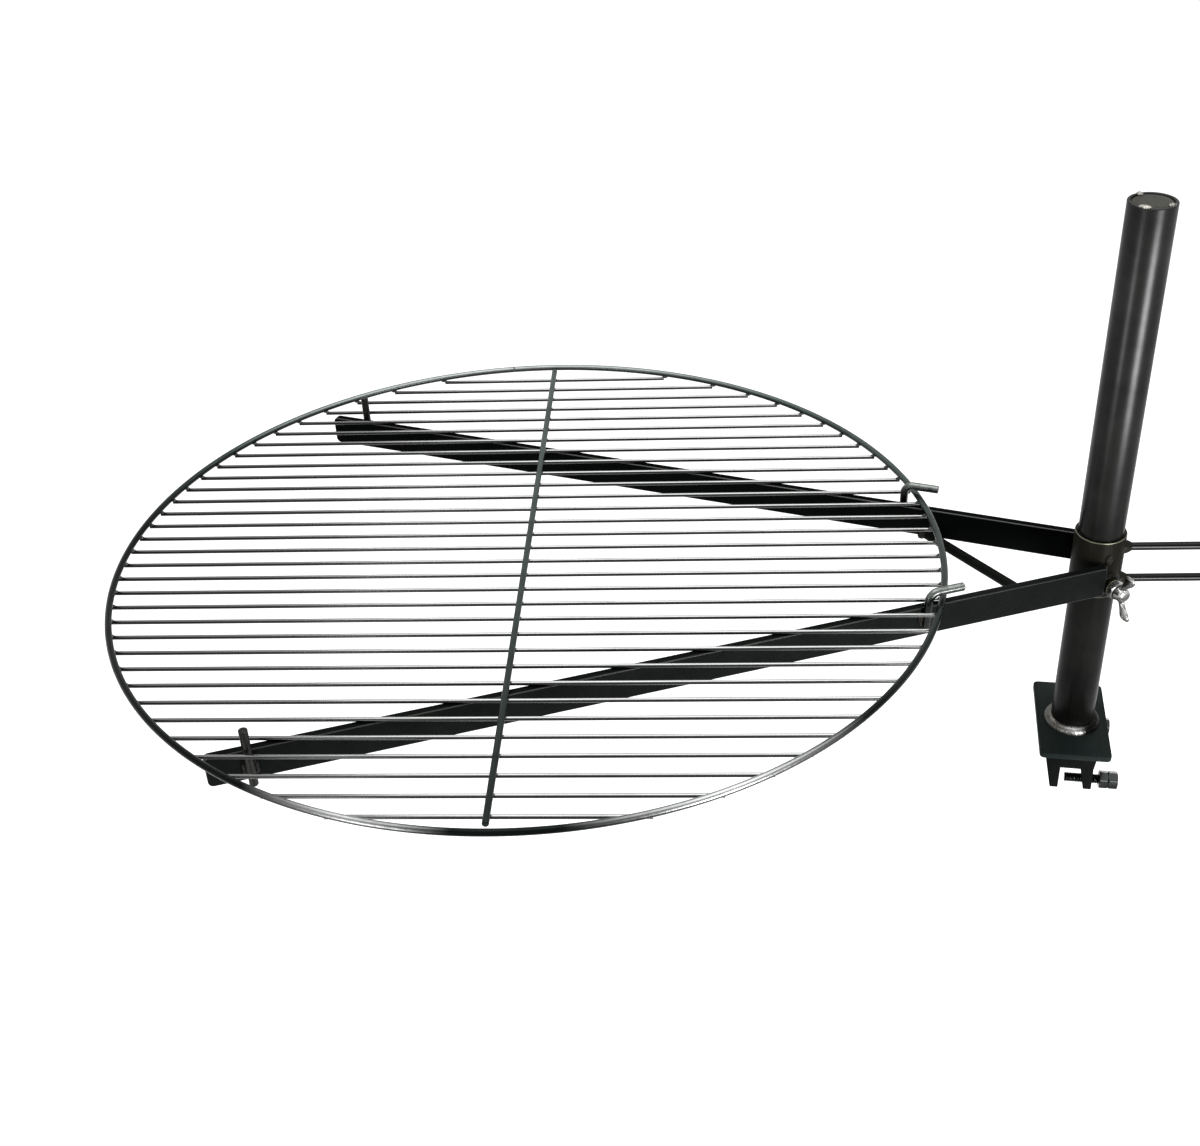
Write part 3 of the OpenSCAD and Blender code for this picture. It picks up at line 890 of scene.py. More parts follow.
def threaded(name: str, radius: float, pitch: float, low: float, high: float,
             chamfer: float = 1.0) -> bpy.types.Object:
    """Adds a shank along Z with a cut thread that runs out at both ends.

    Args:
        name: The piece's name.
        radius: Radius over the thread's crests.
        pitch: Rise of one turn.
        low: Height of the tip.
        high: Height of the other end.
        chamfer: Chamfer of the tip.

    Returns:
        The mesh object.
    """
    piece = turned(name, [(radius - chamfer, low), (radius, low + chamfer), (radius, high)], 36)
    bottom = low + chamfer
    with Editing(piece, "EDGE") as edit:
        edit.pick(lambda e: abs(e.verts[0].co.z - e.verts[1].co.z) > 0.5 * (high - bottom) * MM)
        bpy.ops.mesh.subdivide(number_cuts=int((high - bottom) / pitch * 6))

    def groove(point: Vector) -> Vector:
        around = math.hypot(point.x, point.y)
        if around < radius - 0.05:
            return point
        phase = (point.z / pitch - math.atan2(point.y, point.x) / math.tau) % 1.0
        depth = max(0.0, 1.0 - 2.3 * abs(phase - 0.5)) * 0.58 * pitch
        fade = min(1.0, max(0.0, (high - point.z) / pitch), max(0.0, (point.z - bottom + 0.3) / (0.5 * pitch)))
        factor = (radius - depth * fade) / around
        return Vector((point.x * factor, point.y * factor, point.z))

    move_points(piece, groove)
    return piece


def hexagon(name: str, across: float, low: float, high: float, bore: float = 0.0) -> bpy.types.Object:
    """Adds a hexagon along Z with its corners cut back, as a bolt's head or as a nut.

    Args:
        name: The piece's name.
        across: Width across the flats.
        low: Height of its lower face.
        high: Height of its upper face.
        bore: Radius of a nut's bore, or 0 for a head.

    Returns:
        The mesh object.
    """
    corner = across / math.sqrt(3)
    face = 0.48 * across
    cut = (corner - face) * math.tan(math.radians(30))
    outside = [(face, low), (corner + 0.1, low + cut + 0.06), (corner + 0.1, high - cut - 0.06), (face, high)]
    if bore:
        lead = 0.9
        inside = [(bore + lead, high), (bore, high - lead), (bore, low + lead), (bore + lead, low)]
        cone = turned(name + "_cone", [*outside, *inside, outside[0]], 60, hollow=True)
    else:
        cone = turned(name + "_cone", outside, 60)
    deselect()
    bpy.ops.mesh.primitive_cylinder_add(vertices=6, radius=corner * MM, depth=(high - low + 4) * MM,
                                        location=(0, 0, (low + high) / 2 * MM), rotation=(0, 0, math.pi / 2))
    piece = bpy.context.object
    piece.name = name
    bpy.ops.object.transform_apply(location=True, rotation=True, scale=True)
    soften(piece, 0.5, 2, 40)
    cut_with(piece, cone, "INTERSECT")
    smooth(piece, 24)
    return piece


def bead_ring(name: str, profile: Sequence[tuple[float, float]], ripples: int, depth: float,
              seed: float = 0.0) -> bpy.types.Object:
    """Adds a weld bead round Z whose free side has the overlapping scales of a weld run.

    Args:
        name: The piece's name.
        profile: Closed list of radius and height, whose first point is the fixed corner.
        ripples: Number of scales.
        depth: How deep they are, in millimetres.
        seed: Shifts the unevenness.

    Returns:
        The mesh object.
    """
    corner = profile[0]
    reach = max(math.hypot(r - corner[0], z - corner[1]) for r, z in profile)
    piece = turned(name, [*profile, profile[0]], 160, hollow=True)

    def scale_off(point: Vector) -> Vector:
        radius = math.hypot(point.x, point.y)
        angle = math.atan2(point.y, point.x)
        out = radius - corner[0]
        up = point.z - corner[1]
        far = math.hypot(out, up) / reach
        lag = 0.55 * (1 - (2 * math.atan2(up, max(out, 1e-6)) / math.pi - 0.5) ** 2 * 4)
        phase = (angle / math.tau * ripples + lag) % 1.0
        wander = noise.noise(Vector((math.cos(angle) * 2.2, math.sin(angle) * 2.2, seed)))
        shrink = 1.0 - far * (depth * phase + 0.8 * depth * max(0.0, wander + 0.2)) / reach
        factor = (corner[0] + out * shrink) / radius
        return Vector((point.x * factor, point.y * factor, corner[1] + up * shrink))

    move_points(piece, scale_off)
    smooth(piece, 55)
    return piece


def quarter(corner: tuple[float, float], leg: float, steps: int = 7) -> list[tuple[float, float]]:
    """Gives the outline of a quarter-round bead in a corner, as radius and height."""
    turns = [math.pi / 2 * i / steps for i in range(steps + 1)]
    return [corner, *[(corner[0] + leg * math.cos(t), corner[1] + leg * math.sin(t)) for t in turns]]


def blob(name: str, size: Sequence[float], at: Matrix, seed: float, rough: float = 0.12) -> bpy.types.Object:
    """Adds a lump of weld metal.

    Args:
        name: The piece's name.
        size: Its half widths in millimetres.
        at: From its own directions to the row frame, in metres.
        seed: Shifts its unevenness.
        rough: Unevenness as a share of its size.

    Returns:
        The mesh object, placed.
    """
    deselect()
    bpy.ops.mesh.primitive_ico_sphere_add(subdivisions=4, radius=1.0)
    piece = bpy.context.object
    piece.name = name

    def lump(point: Vector) -> Vector:
        ball = point * MM
        swell = 1.0 + rough * noise.noise(ball * 1.7 + Vector((seed, 0, 0)))
        swell -= 0.3 * rough * abs(math.sin(ball.x * 9.0 + seed))
        return Vector((ball.x * size[0], ball.y * size[1], ball.z * size[2])) * swell

    move_points(piece, lump)
    smooth(piece, 60)
    return put(piece, at)


@dataclass
class Base:
    """Plate, two clamp forks, foot weld, clamp bolts and their lock nuts."""

    shop: Workshop
    plate_w: float = 70.0
    plate_l: float = 120.0
    plate_t: float = 6.0
    plate_corner: float = 5.0
    fork_t: float = 16.0
    fork_y: float = 43.5
    web_h: float = 18.0
    leg_drop: float = 26.0
    top_in: float = 29.0
    top_out: float = 23.0
    neck_x: float = 20.5
    slot_in: float = 12.0
    slot_out: float = 8.0
    slot_flare: float = 5.0
    slot_corner: float = 4.0
    leg_w: float = 8.0
    bolt_d: float = 10.0
    bolt_z: float = -18.0
    bolt_tip: float = -6.0
    bolt_len: float = 43.0
    head_h: float = 9.5
    nut_h: float = 9.0
    hex_af: float = 17.0
    thread: float = 1.5
    post_d: float = 42.4
    foot_leg: float = 7.0

    def build(self) -> None:
        """Builds and dresses the base."""
        self.plate()
        self.foot_weld()
        for side, y in (("front", -self.fork_y), ("rear", self.fork_y)):
            self.fork(side, y)
            self.bolt(side, y)

    def plate(self) -> None:
        """Builds the plate with its round corners."""
        half_w, half_l = self.plate_w / 2, self.plate_l / 2
        piece = block("plate", (-half_w, -half_l, self.web_h), (half_w, half_l, self.web_h + self.plate_t))
        with Editing(piece, "EDGE") as edit:
            edit.pick(lambda e: near(e.verts[0].co.x, e.verts[1].co.x, 1e-6)
                      and near(e.verts[0].co.y, e.verts[1].co.y, 1e-6))
            bpy.ops.mesh.bevel(offset=self.plate_corner * MM, segments=6, affect="EDGES")
        soften(piece, 0.7)
        self.shop.hand_over(piece, Finish.PLATE_PAINT, "base", "dark_steel", ["base_plate"])

    def fork(self, side: str, y: float) -> None:
        """Builds one fork: a web, two tapered legs and the slot between them.

        Args:
            side: front or rear.
            y: The fork's middle plane.
        """
        half = self.fork_t / 2
        piece = block(side + "_jaw_fork", (-self.top_in, y - half, 0), (self.top_out, y + half, self.web_h))
        with Editing(piece) as edit:
            for x in (-self.slot_in, self.slot_out):
                edit.everything()
                bpy.ops.mesh.bisect(plane_co=(x * MM, 0, 0), plane_no=(1, 0, 0))
            edit.pick(lambda f: f.normal.z < -0.9
                      and not -self.slot_in < f.calc_center_median().x / MM < self.slot_out)
            bpy.ops.mesh.extrude_region_move(TRANSFORM_OT_translate={"value": (0, 0, -self.leg_drop * MM)})
        share = self.web_h / (self.web_h + self.leg_drop)
        leg_out = self.slot_out + self.slot_flare
        seat = {-self.top_in: -self.top_in + share * (self.top_in - self.slot_in - self.leg_w),
                self.top_out: self.neck_x}
        foot = {-self.top_in: -self.slot_in - self.leg_w, self.slot_out: leg_out,
                self.top_out: leg_out + self.leg_w}

        def taper(point: Vector) -> Vector:
            level = seat if near(point.z, 0) else foot if near(point.z, -self.leg_drop) else {}
            for was, now in level.items():
                if near(point.x, was):
                    return Vector((now, point.y, point.z))
            return point

        move_points(piece, taper)
        with Editing(piece, "EDGE") as edit:
            edit.pick(lambda e: edge_between(e, lambda p: near(p.z, 0) and (near(p.x, -self.slot_in)
                                                                            or near(p.x, self.slot_out))))
            bpy.ops.mesh.bevel(offset=self.slot_corner * MM, segments=6, affect="EDGES")
            edit.pick(lambda e: edge_between(e, lambda p: near(p.z, -self.leg_drop))
                      and near(e.verts[0].co.x / MM, e.verts[1].co.x / MM))
            bpy.ops.mesh.bevel(offset=0.9 * MM, segments=3, affect="EDGES")
        soften(piece, 0.5)
        hole = rod("hole", self.bolt_d / 2 + 0.08, 0, 40, 0.01, 40)
        put(hole, self.bolt_line(y))
        cut_with(piece, hole)
        self.shop.hand_over(piece, Finish.FORK_PAINT, "base", "dark_steel", [side + "_fork"])

    def bolt_line(self, y: float) -> Matrix:
        """Gives the place of a clamp bolt's axis, with Z away from the grate."""
        return Matrix.Translation((0, y * MM, self.bolt_z * MM)) @ Matrix.Rotation(math.pi / 2, 4, "Y")

    def bolt(self, side: str, y: float) -> None:
        """Builds one clamp bolt and its lock nut.

        Args:
            side: front or rear.
            y: The bolt's middle plane.
        """
        head_z = self.bolt_tip + self.bolt_len
        shank = threaded("shank", self.bolt_d / 2, self.thread, self.bolt_tip, head_z + 0.5)
        head = hexagon("head", self.hex_af, head_z, head_z + self.head_h)
        piece = join([shank, head], side + "_bolt_cut")
        smooth(piece, 28)
        put(piece, self.bolt_line(y))
        self.shop.hand_over(piece, Finish.DULL_ZINC, side + "_bolt", "dull_zinc", [side + "_clamp_bolt"])
        nut = hexagon(side + "_nut_cut", self.hex_af, head_z - self.nut_h - 0.05, head_z - 0.05,
                      self.bolt_d / 2 + 0.08)
        put(nut, self.bolt_line(y))
        self.shop.hand_over(nut, Finish.DULL_ZINC, side + "_nut", "dull_zinc", [side + "_lock_nut"])

    def foot_weld(self) -> None:
        """Builds the rippled weld run round the post's foot."""
        corner = (self.post_d / 2 + 0.08, self.web_h + self.plate_t)
        piece = bead_ring("foot_run", quarter(corner, self.foot_leg), 46, 0.55, 3.0)
        # Painted highlight on the front of the weld.
        mark_painted_highlight(piece, Vector((0, 0, 0)), ((-89.0, 25.0, 1.0),))
        self.shop.hand_over(piece, Finish.FOOT_WELD, "base", "weld_bead", ["foot_weld"])


@dataclass
class Post:
    """Tube, its end cap and the three tacks that hold the cap."""

    shop: Workshop
    radius: float = 21.2
    wall: float = 3.2
    low: float = 24.0
    high: float = 579.0
    cap_t: float = 4.0
    cap_recess: float = 0.5
    tack_r: float = 3.4
    tack_h: float = 2.0
    tacks: tuple[tuple[float, float], ...] = ((-42.0, 1.0), (114.0, 0.9), (236.0, 1.8))

    def build(self) -> None:
        """Builds and dresses the post."""
        inner = self.radius - self.wall
        tube = turned("tube", [(self.radius, self.low), (self.radius, self.high), (inner, self.high),
                               (inner, self.low), (self.radius, self.low)], 96, hollow=True)
        soften(tube, 0.8, 3)
        self.shop.hand_over(tube, Finish.POST_PAINT, "post", "black_paint", ["post_tube"])
        top = self.high - self.cap_recess
        rim = inner - 0.05
        cap = turned("cap_disc", [(rim, top - self.cap_t), (rim, top - 1.3), (rim - 1.5, top - 0.15),
                                  (rim - 2.3, top), (rim * 0.5, top), (0.4, top)], 96)
        smooth(cap, 35)
        self.shop.hand_over(cap, Finish.CAP_PAINT, "post", "black_paint", ["post_cap"])
        seat = self.radius - self.tack_r - 0.05
        lumps = []
        for number, (azimuth, width) in enumerate(self.tacks):
            place = SWUNG @ Matrix.Rotation(math.radians(azimuth), 4, "Z")
            place = place @ Matrix.Translation((seat * MM, 0, (self.high - 0.1) * MM))
            lump = blob("tack", (self.tack_r * 0.93, self.tack_r * width, self.tack_h), place, 5.0 * number, 0.2)
            with Editing(lump) as edit:
                edit.everything()
                bpy.ops.mesh.bisect(plane_co=(0, 0, (self.high - 0.3) * MM), plane_no=(0, 0, 1), use_fill=True,
                                    clear_inner=True)
            lumps.append(lump)
        piece = join(lumps, "cap_weld_tacks")
        smooth(piece, 50)
        self.shop.hand_over(piece, Finish.TACK, "post", "weld_bead", ["cap_tacks"])


@dataclass
class Carrier:
    """Sleeve, two arms, brace, pegs, hooks and handle, which slide and turn on the post."""

    shop: Workshop
    bore: float = 42.56
    outside: float = 48.3
    low: float = 191.0
    length: float = 62.0
    arm_angle: float = 18.75
    arm_h: float = 31.0
    arm_up: float = 40.0
    arm_t: float = 8.0
    arm_start: float = 9.0
    arm_tip: float = 851.62
    arm_corner: float = 5.0
    bead: float = 4.5
    brace_near: float = 71.0
    brace_far: float = 165.0
    brace_up: float = 1.0
    pin_r: float = 4.0
    pin_off: float = 36.2
    peg_s: float = 814.62
    peg_up: float = 25.0
    peg_down: float = 3.0
    hook_s: float = 195.63
    hook_leg: float = 20.0
    hook_bend: float = 9.0
    hook_run: float = 34.0
    hook_z: float = 248.85
    handle_r: float = 4.0
    handle_z: float = 198.5
    handle_gap: float = 36.0
    handle_reach: float = 195.0
    handle_bead: float = 7.0

    @property
    def top(self) -> float:
        """Height of the arms' upper edge."""
        return self.low + self.arm_up

    @property
    def arm_low(self) -> float:
        """Height of the arms' lower edge."""
        return self.top - self.arm_h

    def side(self, name: str) -> Matrix:
        """Gives an arm's own directions: X along it, Y outwards from its inner face, Z up."""
        turn = Matrix.Rotation(math.pi + math.radians(self.arm_angle), 4, "Z")
        flip = Matrix.Scale(-1, 4, (0, 1, 0)) if name == "far" else Matrix.Identity(4)
        return SWUNG @ flip @ turn

    def place(self, piece: bpy.types.Object, name: str) -> bpy.types.Object:
        """Puts a piece made in an arm's own directions on that arm."""
        put(piece, self.side(name))
        tidy_normals(piece)
        return piece

    def build(self) -> None:
        """Builds and dresses the carrier."""
        self.sleeve()
        for name in ("near", "far"):
            self.arm(name)
            self.peg(name)
            self.hook(name)
            self.arm_run(name)
        self.brace()
        self.handle()

    def sleeve(self) -> None:
        """Builds the pipe with eased, rubbed rims."""
        outer, inner = self.outside / 2, self.bore / 2
        piece = turned("sleeve_pipe", [(outer, self.low), (outer, self.low + self.length),
                                       (inner, self.low + self.length), (inner, self.low), (outer, self.low)],
                       96, hollow=True)
        soften(piece, 0.8)
        hole = rod("hole", 5.08, 0, 30, 0.01, 40)
        put(hole, Lock.line())
        cut_with(piece, hole)
        self.shop.hand_over(piece, Finish.SLEEVE_PAINT, "carrier", "black_paint", ["sleeve"])

    def bar(self, name: str, margin: float = 0.0) -> bpy.types.Object:
        """Makes a flat bar on edge in an arm's own directions.

        Args:
            name: The piece's name.
            margin: How much larger it is all round.

        Returns:
            The mesh object, not yet on its arm.
        """
        face = self.outside / 2
        piece = block(name, (self.arm_start - margin, face - margin, self.arm_low - margin),
                      (self.arm_tip + margin, face + self.arm_t + margin, self.top + margin))
        with Editing(piece, "EDGE") as edit:
            edit.pick(lambda e: edge_between(e, lambda p: near(p.x, self.arm_tip + margin))
                      and near(e.verts[0].co.z / MM, e.verts[1].co.z / MM))
            bpy.ops.mesh.bevel(offset=self.arm_corner * MM, segments=6, affect="EDGES")
        return piece

    def arm(self, name: str) -> None:
        """Builds one arm with the soft edges of rolled bar."""
        piece = self.bar(name + "_bar")
        soften(piece, 0.8, 3)
        self.place(piece, name)
        # The far arm takes the darker copy of the paint, as painted shade.
        finish = Finish.ARM_PAINT if name == "near" else Finish.FAR_SHADED_PAINT
        self.shop.hand_over(piece, finish, "carrier", "black_paint", [name + "_arm"])

    def arm_run(self, name: str) -> None:
        """Builds the upright weld run between an arm and the sleeve."""
        piece = rod(name + "_arm_run", self.bead, self.arm_low + 0.3, self.top - 0.3, 1.2, 40)
        with Editing(piece, "EDGE") as edit:
            edit.pick(lambda e: abs(e.verts[0].co.z - e.verts[1].co.z) > 0.5 * self.arm_h * MM)
            bpy.ops.mesh.subdivide(number_cuts=90)

        def ripple(point: Vector) -> Vector:
            around = math.atan2(point.y, point.x)
            phase = (point.z / 1.9 + 0.25 * math.cos(around + 0.6)) % 1.0
            wander = noise.noise(Vector((around, point.z * 0.2, 9.0)))
            factor = 1.0 - 0.10 * phase - 0.08 * max(0.0, wander)
            return Vector((point.x * factor + self.arm_start, point.y * factor + self.outside / 2, point.z))

        move_points(piece, ripple)
        cut_with(piece, self.bar("cutter", 0.05))
        self.place(piece, name)
        trim = turned("trim", [(self.outside / 2 + 0.05, self.low - 2), (self.outside / 2 + 0.05, self.top + 2)], 96)
        cut_with(piece, trim)
        if name == "near":
            boss = rod("trim", 9.05, 0, 60, 0.01, 40)
            put(boss, Lock.line())
            cut_with(piece, boss)
        smooth(piece, 50)
        self.shop.hand_over(piece, Finish.PAINTED_WELD, "carrier", "weld_bead",
                            ["arm_welds"] if name == "near" else [])

    def peg(self, name: str) -> None:
        """Builds one peg, and the weld that holds it on the arm's outer face."""
        piece = rod(name + "_pin", self.pin_r, self.arm_low - self.peg_down, self.top + self.peg_up, 0.7)
        put(piece, Matrix.Translation((self.peg_s * MM, self.pin_off * MM, 0)))
        self.place(piece, name)
        self.shop.hand_over(piece, Finish.PEG_STEEL, "carrier", "bright_zinc", [name + "_peg"])
        self.pin_weld(name, self.peg_s, self.arm_low + 13.0, name + "_peg_weld")

    def pin_weld(self, name: str, s: float, z: float, label: str) -> None:
        """Builds the two lumps of weld beside a pin.

        Args:
            name: near or far.
            s: The pin's place along the arm.
            z: Height of the lumps' middle.
            label: The piece's name.
        """
        face = self.outside / 2 + self.arm_t
        lumps = []
        for turn, shift in enumerate((-self.pin_r - 0.9, self.pin_r + 0.9)):
            at = Matrix.Translation(((s + shift) * MM, (face + 1.0) * MM, z * MM))
            lumps.append(blob("lump", (2.6, 2.3, 7.5), at, s + 3.1 * turn, 0.28))
        piece = join(lumps, label)
        cut_with(piece, block("cutter", (s - 40, face - 12, z - 40), (s + 40, face + 0.02, z + 40)))
        self.place(piece, name)
        smooth(piece, 50)
        self.shop.hand_over(piece, Finish.PAINTED_WELD, "carrier", "weld_bead")

    def hook(self, name: str) -> None:
        """Builds one hook: an upright leg, a round bend and a level run towards the post."""
        leg_z = self.top - self.hook_leg
        bend_z = self.hook_z - self.hook_bend
        ease = 0.7
        piece = turned(name + "_bent_pin", [(self.pin_r - ease, leg_z), (self.pin_r - 0.2, leg_z + 0.2),
                                            (self.pin_r, leg_z + ease), (self.pin_r, bend_z)], 28)
        with Editing(piece) as edit:
            edit.pick(lambda f: f.normal.z > 0.9 and near(f.calc_center_median().z / MM, bend_z))
            bpy.ops.mesh.spin(steps=14, angle=math.pi / 2, center=(-self.hook_bend * MM, 0, bend_z * MM),
                              axis=(0, 1, 0))
            edit.pick(lambda f: f.normal.x < -0.98 and near(f.calc_center_median().x / MM, -self.hook_bend, 0.3)
                      and f.calc_area() > 3e-5)
            run = -(self.hook_run - self.hook_bend - ease) * MM
            bpy.ops.mesh.extrude_region_move(TRANSFORM_OT_translate={"value": (run, 0, 0)})
            bpy.ops.mesh.extrude_region_move(TRANSFORM_OT_translate={"value": (-ease * MM, 0, 0)})
            share = (self.pin_r - ease) / self.pin_r
            bpy.ops.transform.resize(value=(1, share, share), center_override=(-self.hook_run * MM, 0,
                                                                               self.hook_z * MM))
        tidy_normals(piece)
        smooth(piece, 40)
        put(piece, Matrix.Translation((self.hook_s * MM, self.pin_off * MM, 0)))
        self.place(piece, name)
        self.shop.hand_over(piece, Finish.HOOK_ZINC, "carrier", "bright_zinc", [name + "_hook"])
        self.pin_weld(name, self.hook_s, leg_z + 8.0, name + "_hook_weld")

    def brace(self) -> None:
        """Dresses the brace, whose mitred rod stays, and adds the welds at its ends."""
        self.shop.carry_over("brace_rod", Finish.ROD_PAINT)
        face = self.outside / 2
        lumps = []
        for turn, (name, s) in enumerate((("near", self.brace_near), ("far", self.brace_far))):
            for shift in (-7.5, 7.5):
                at = self.side(name) @ Matrix.Translation(((s + shift) * MM, (face - 1.0) * MM,
                                                              (self.arm_low + self.brace_up) * MM))
                lumps.append(blob("lump", (4.2, 2.4, 4.2), at, s + shift + turn, 0.25))
        piece = join(lumps, "brace_welds")
        for name in ("near", "far"):
            cutter = block("cutter", (self.arm_start, face - 0.05, self.arm_low - 9), (300, face + 20, self.top))
            cut_with(piece, self.place(cutter, name))
        smooth(piece, 50)
        self.shop.hand_over(piece, Finish.PAINTED_WELD, "carrier", "weld_bead")

    def handle(self) -> None:
        """Builds the handle loop from one bent rod, and the welds at its ends."""
        bend = self.handle_gap / 2
        start = math.sqrt((self.outside / 2) ** 2 - self.handle_r ** 2) + 0.1
        end = self.handle_reach - self.handle_r - bend
        piece = turned("handle_rod", [(self.handle_r, start), (self.handle_r, end)], 28)
        put(piece, Matrix.Translation((0, 0, self.handle_z * MM)) @ Matrix.Rotation(math.pi / 2, 4, "Y"))
        with Editing(piece) as edit:
            edit.pick(lambda f: f.normal.x > 0.9 and near(f.calc_center_median().x / MM, end))
            bpy.ops.mesh.spin(steps=28, angle=math.pi, center=(end * MM, 0, (self.handle_z + bend) * MM),
                              axis=(0, 1, 0))
            edit.pick(lambda f: f.normal.x < -0.98 and f.calc_center_median().z / MM > self.handle_z + bend
                      and f.calc_area() > 3e-5)
            bpy.ops.mesh.extrude_region_move(TRANSFORM_OT_translate={"value": ((start - end) * MM, 0, 0)})
        tidy_normals(piece)
        put(piece, SWUNG)
        trim = turned("trim", [(self.outside / 2 + 0.05, self.low - 2), (self.outside / 2 + 0.05, self.low + 80)], 96)
        cut_with(piece, trim)
        smooth(piece, 40)
        self.shop.hand_over(piece, Finish.HANDLE_PAINT, "carrier", "black_paint", ["handle_loop"])
        sleeve_r = self.outside / 2
        for number, z in enumerate((self.handle_z, self.handle_z + self.handle_gap)):
            inner = self.handle_r + 0.06
            profile = [(inner, 0.0), (self.handle_bead, 0.0), (self.handle_bead - 0.2, 1.6), (6.1, 3.4),
                       (5.0, 5.4), (inner + 0.1, 6.8)]
            weld = bead_ring("weld", profile, 22, 0.5, 2.0 + number)

            def saddle(point: Vector) -> Vector:
                drop = sleeve_r - math.sqrt(max(0.0, sleeve_r ** 2 - point.y ** 2))
                return Vector((point.x, point.y, point.z + sleeve_r + 0.08 - drop))

            move_points(weld, saddle)
            weld.name = ("lower", "upper")[number] + "_handle_run"
            put(weld, SWUNG @ Matrix.Translation((0, 0, z * MM)) @ Matrix.Rotation(math.pi / 2, 4, "Y"))
            smooth(weld, 55)
            self.shop.hand_over(weld, Finish.PAINTED_WELD, "carrier", "weld_bead",
                                ["handle_welds"] if number == 0 else [])


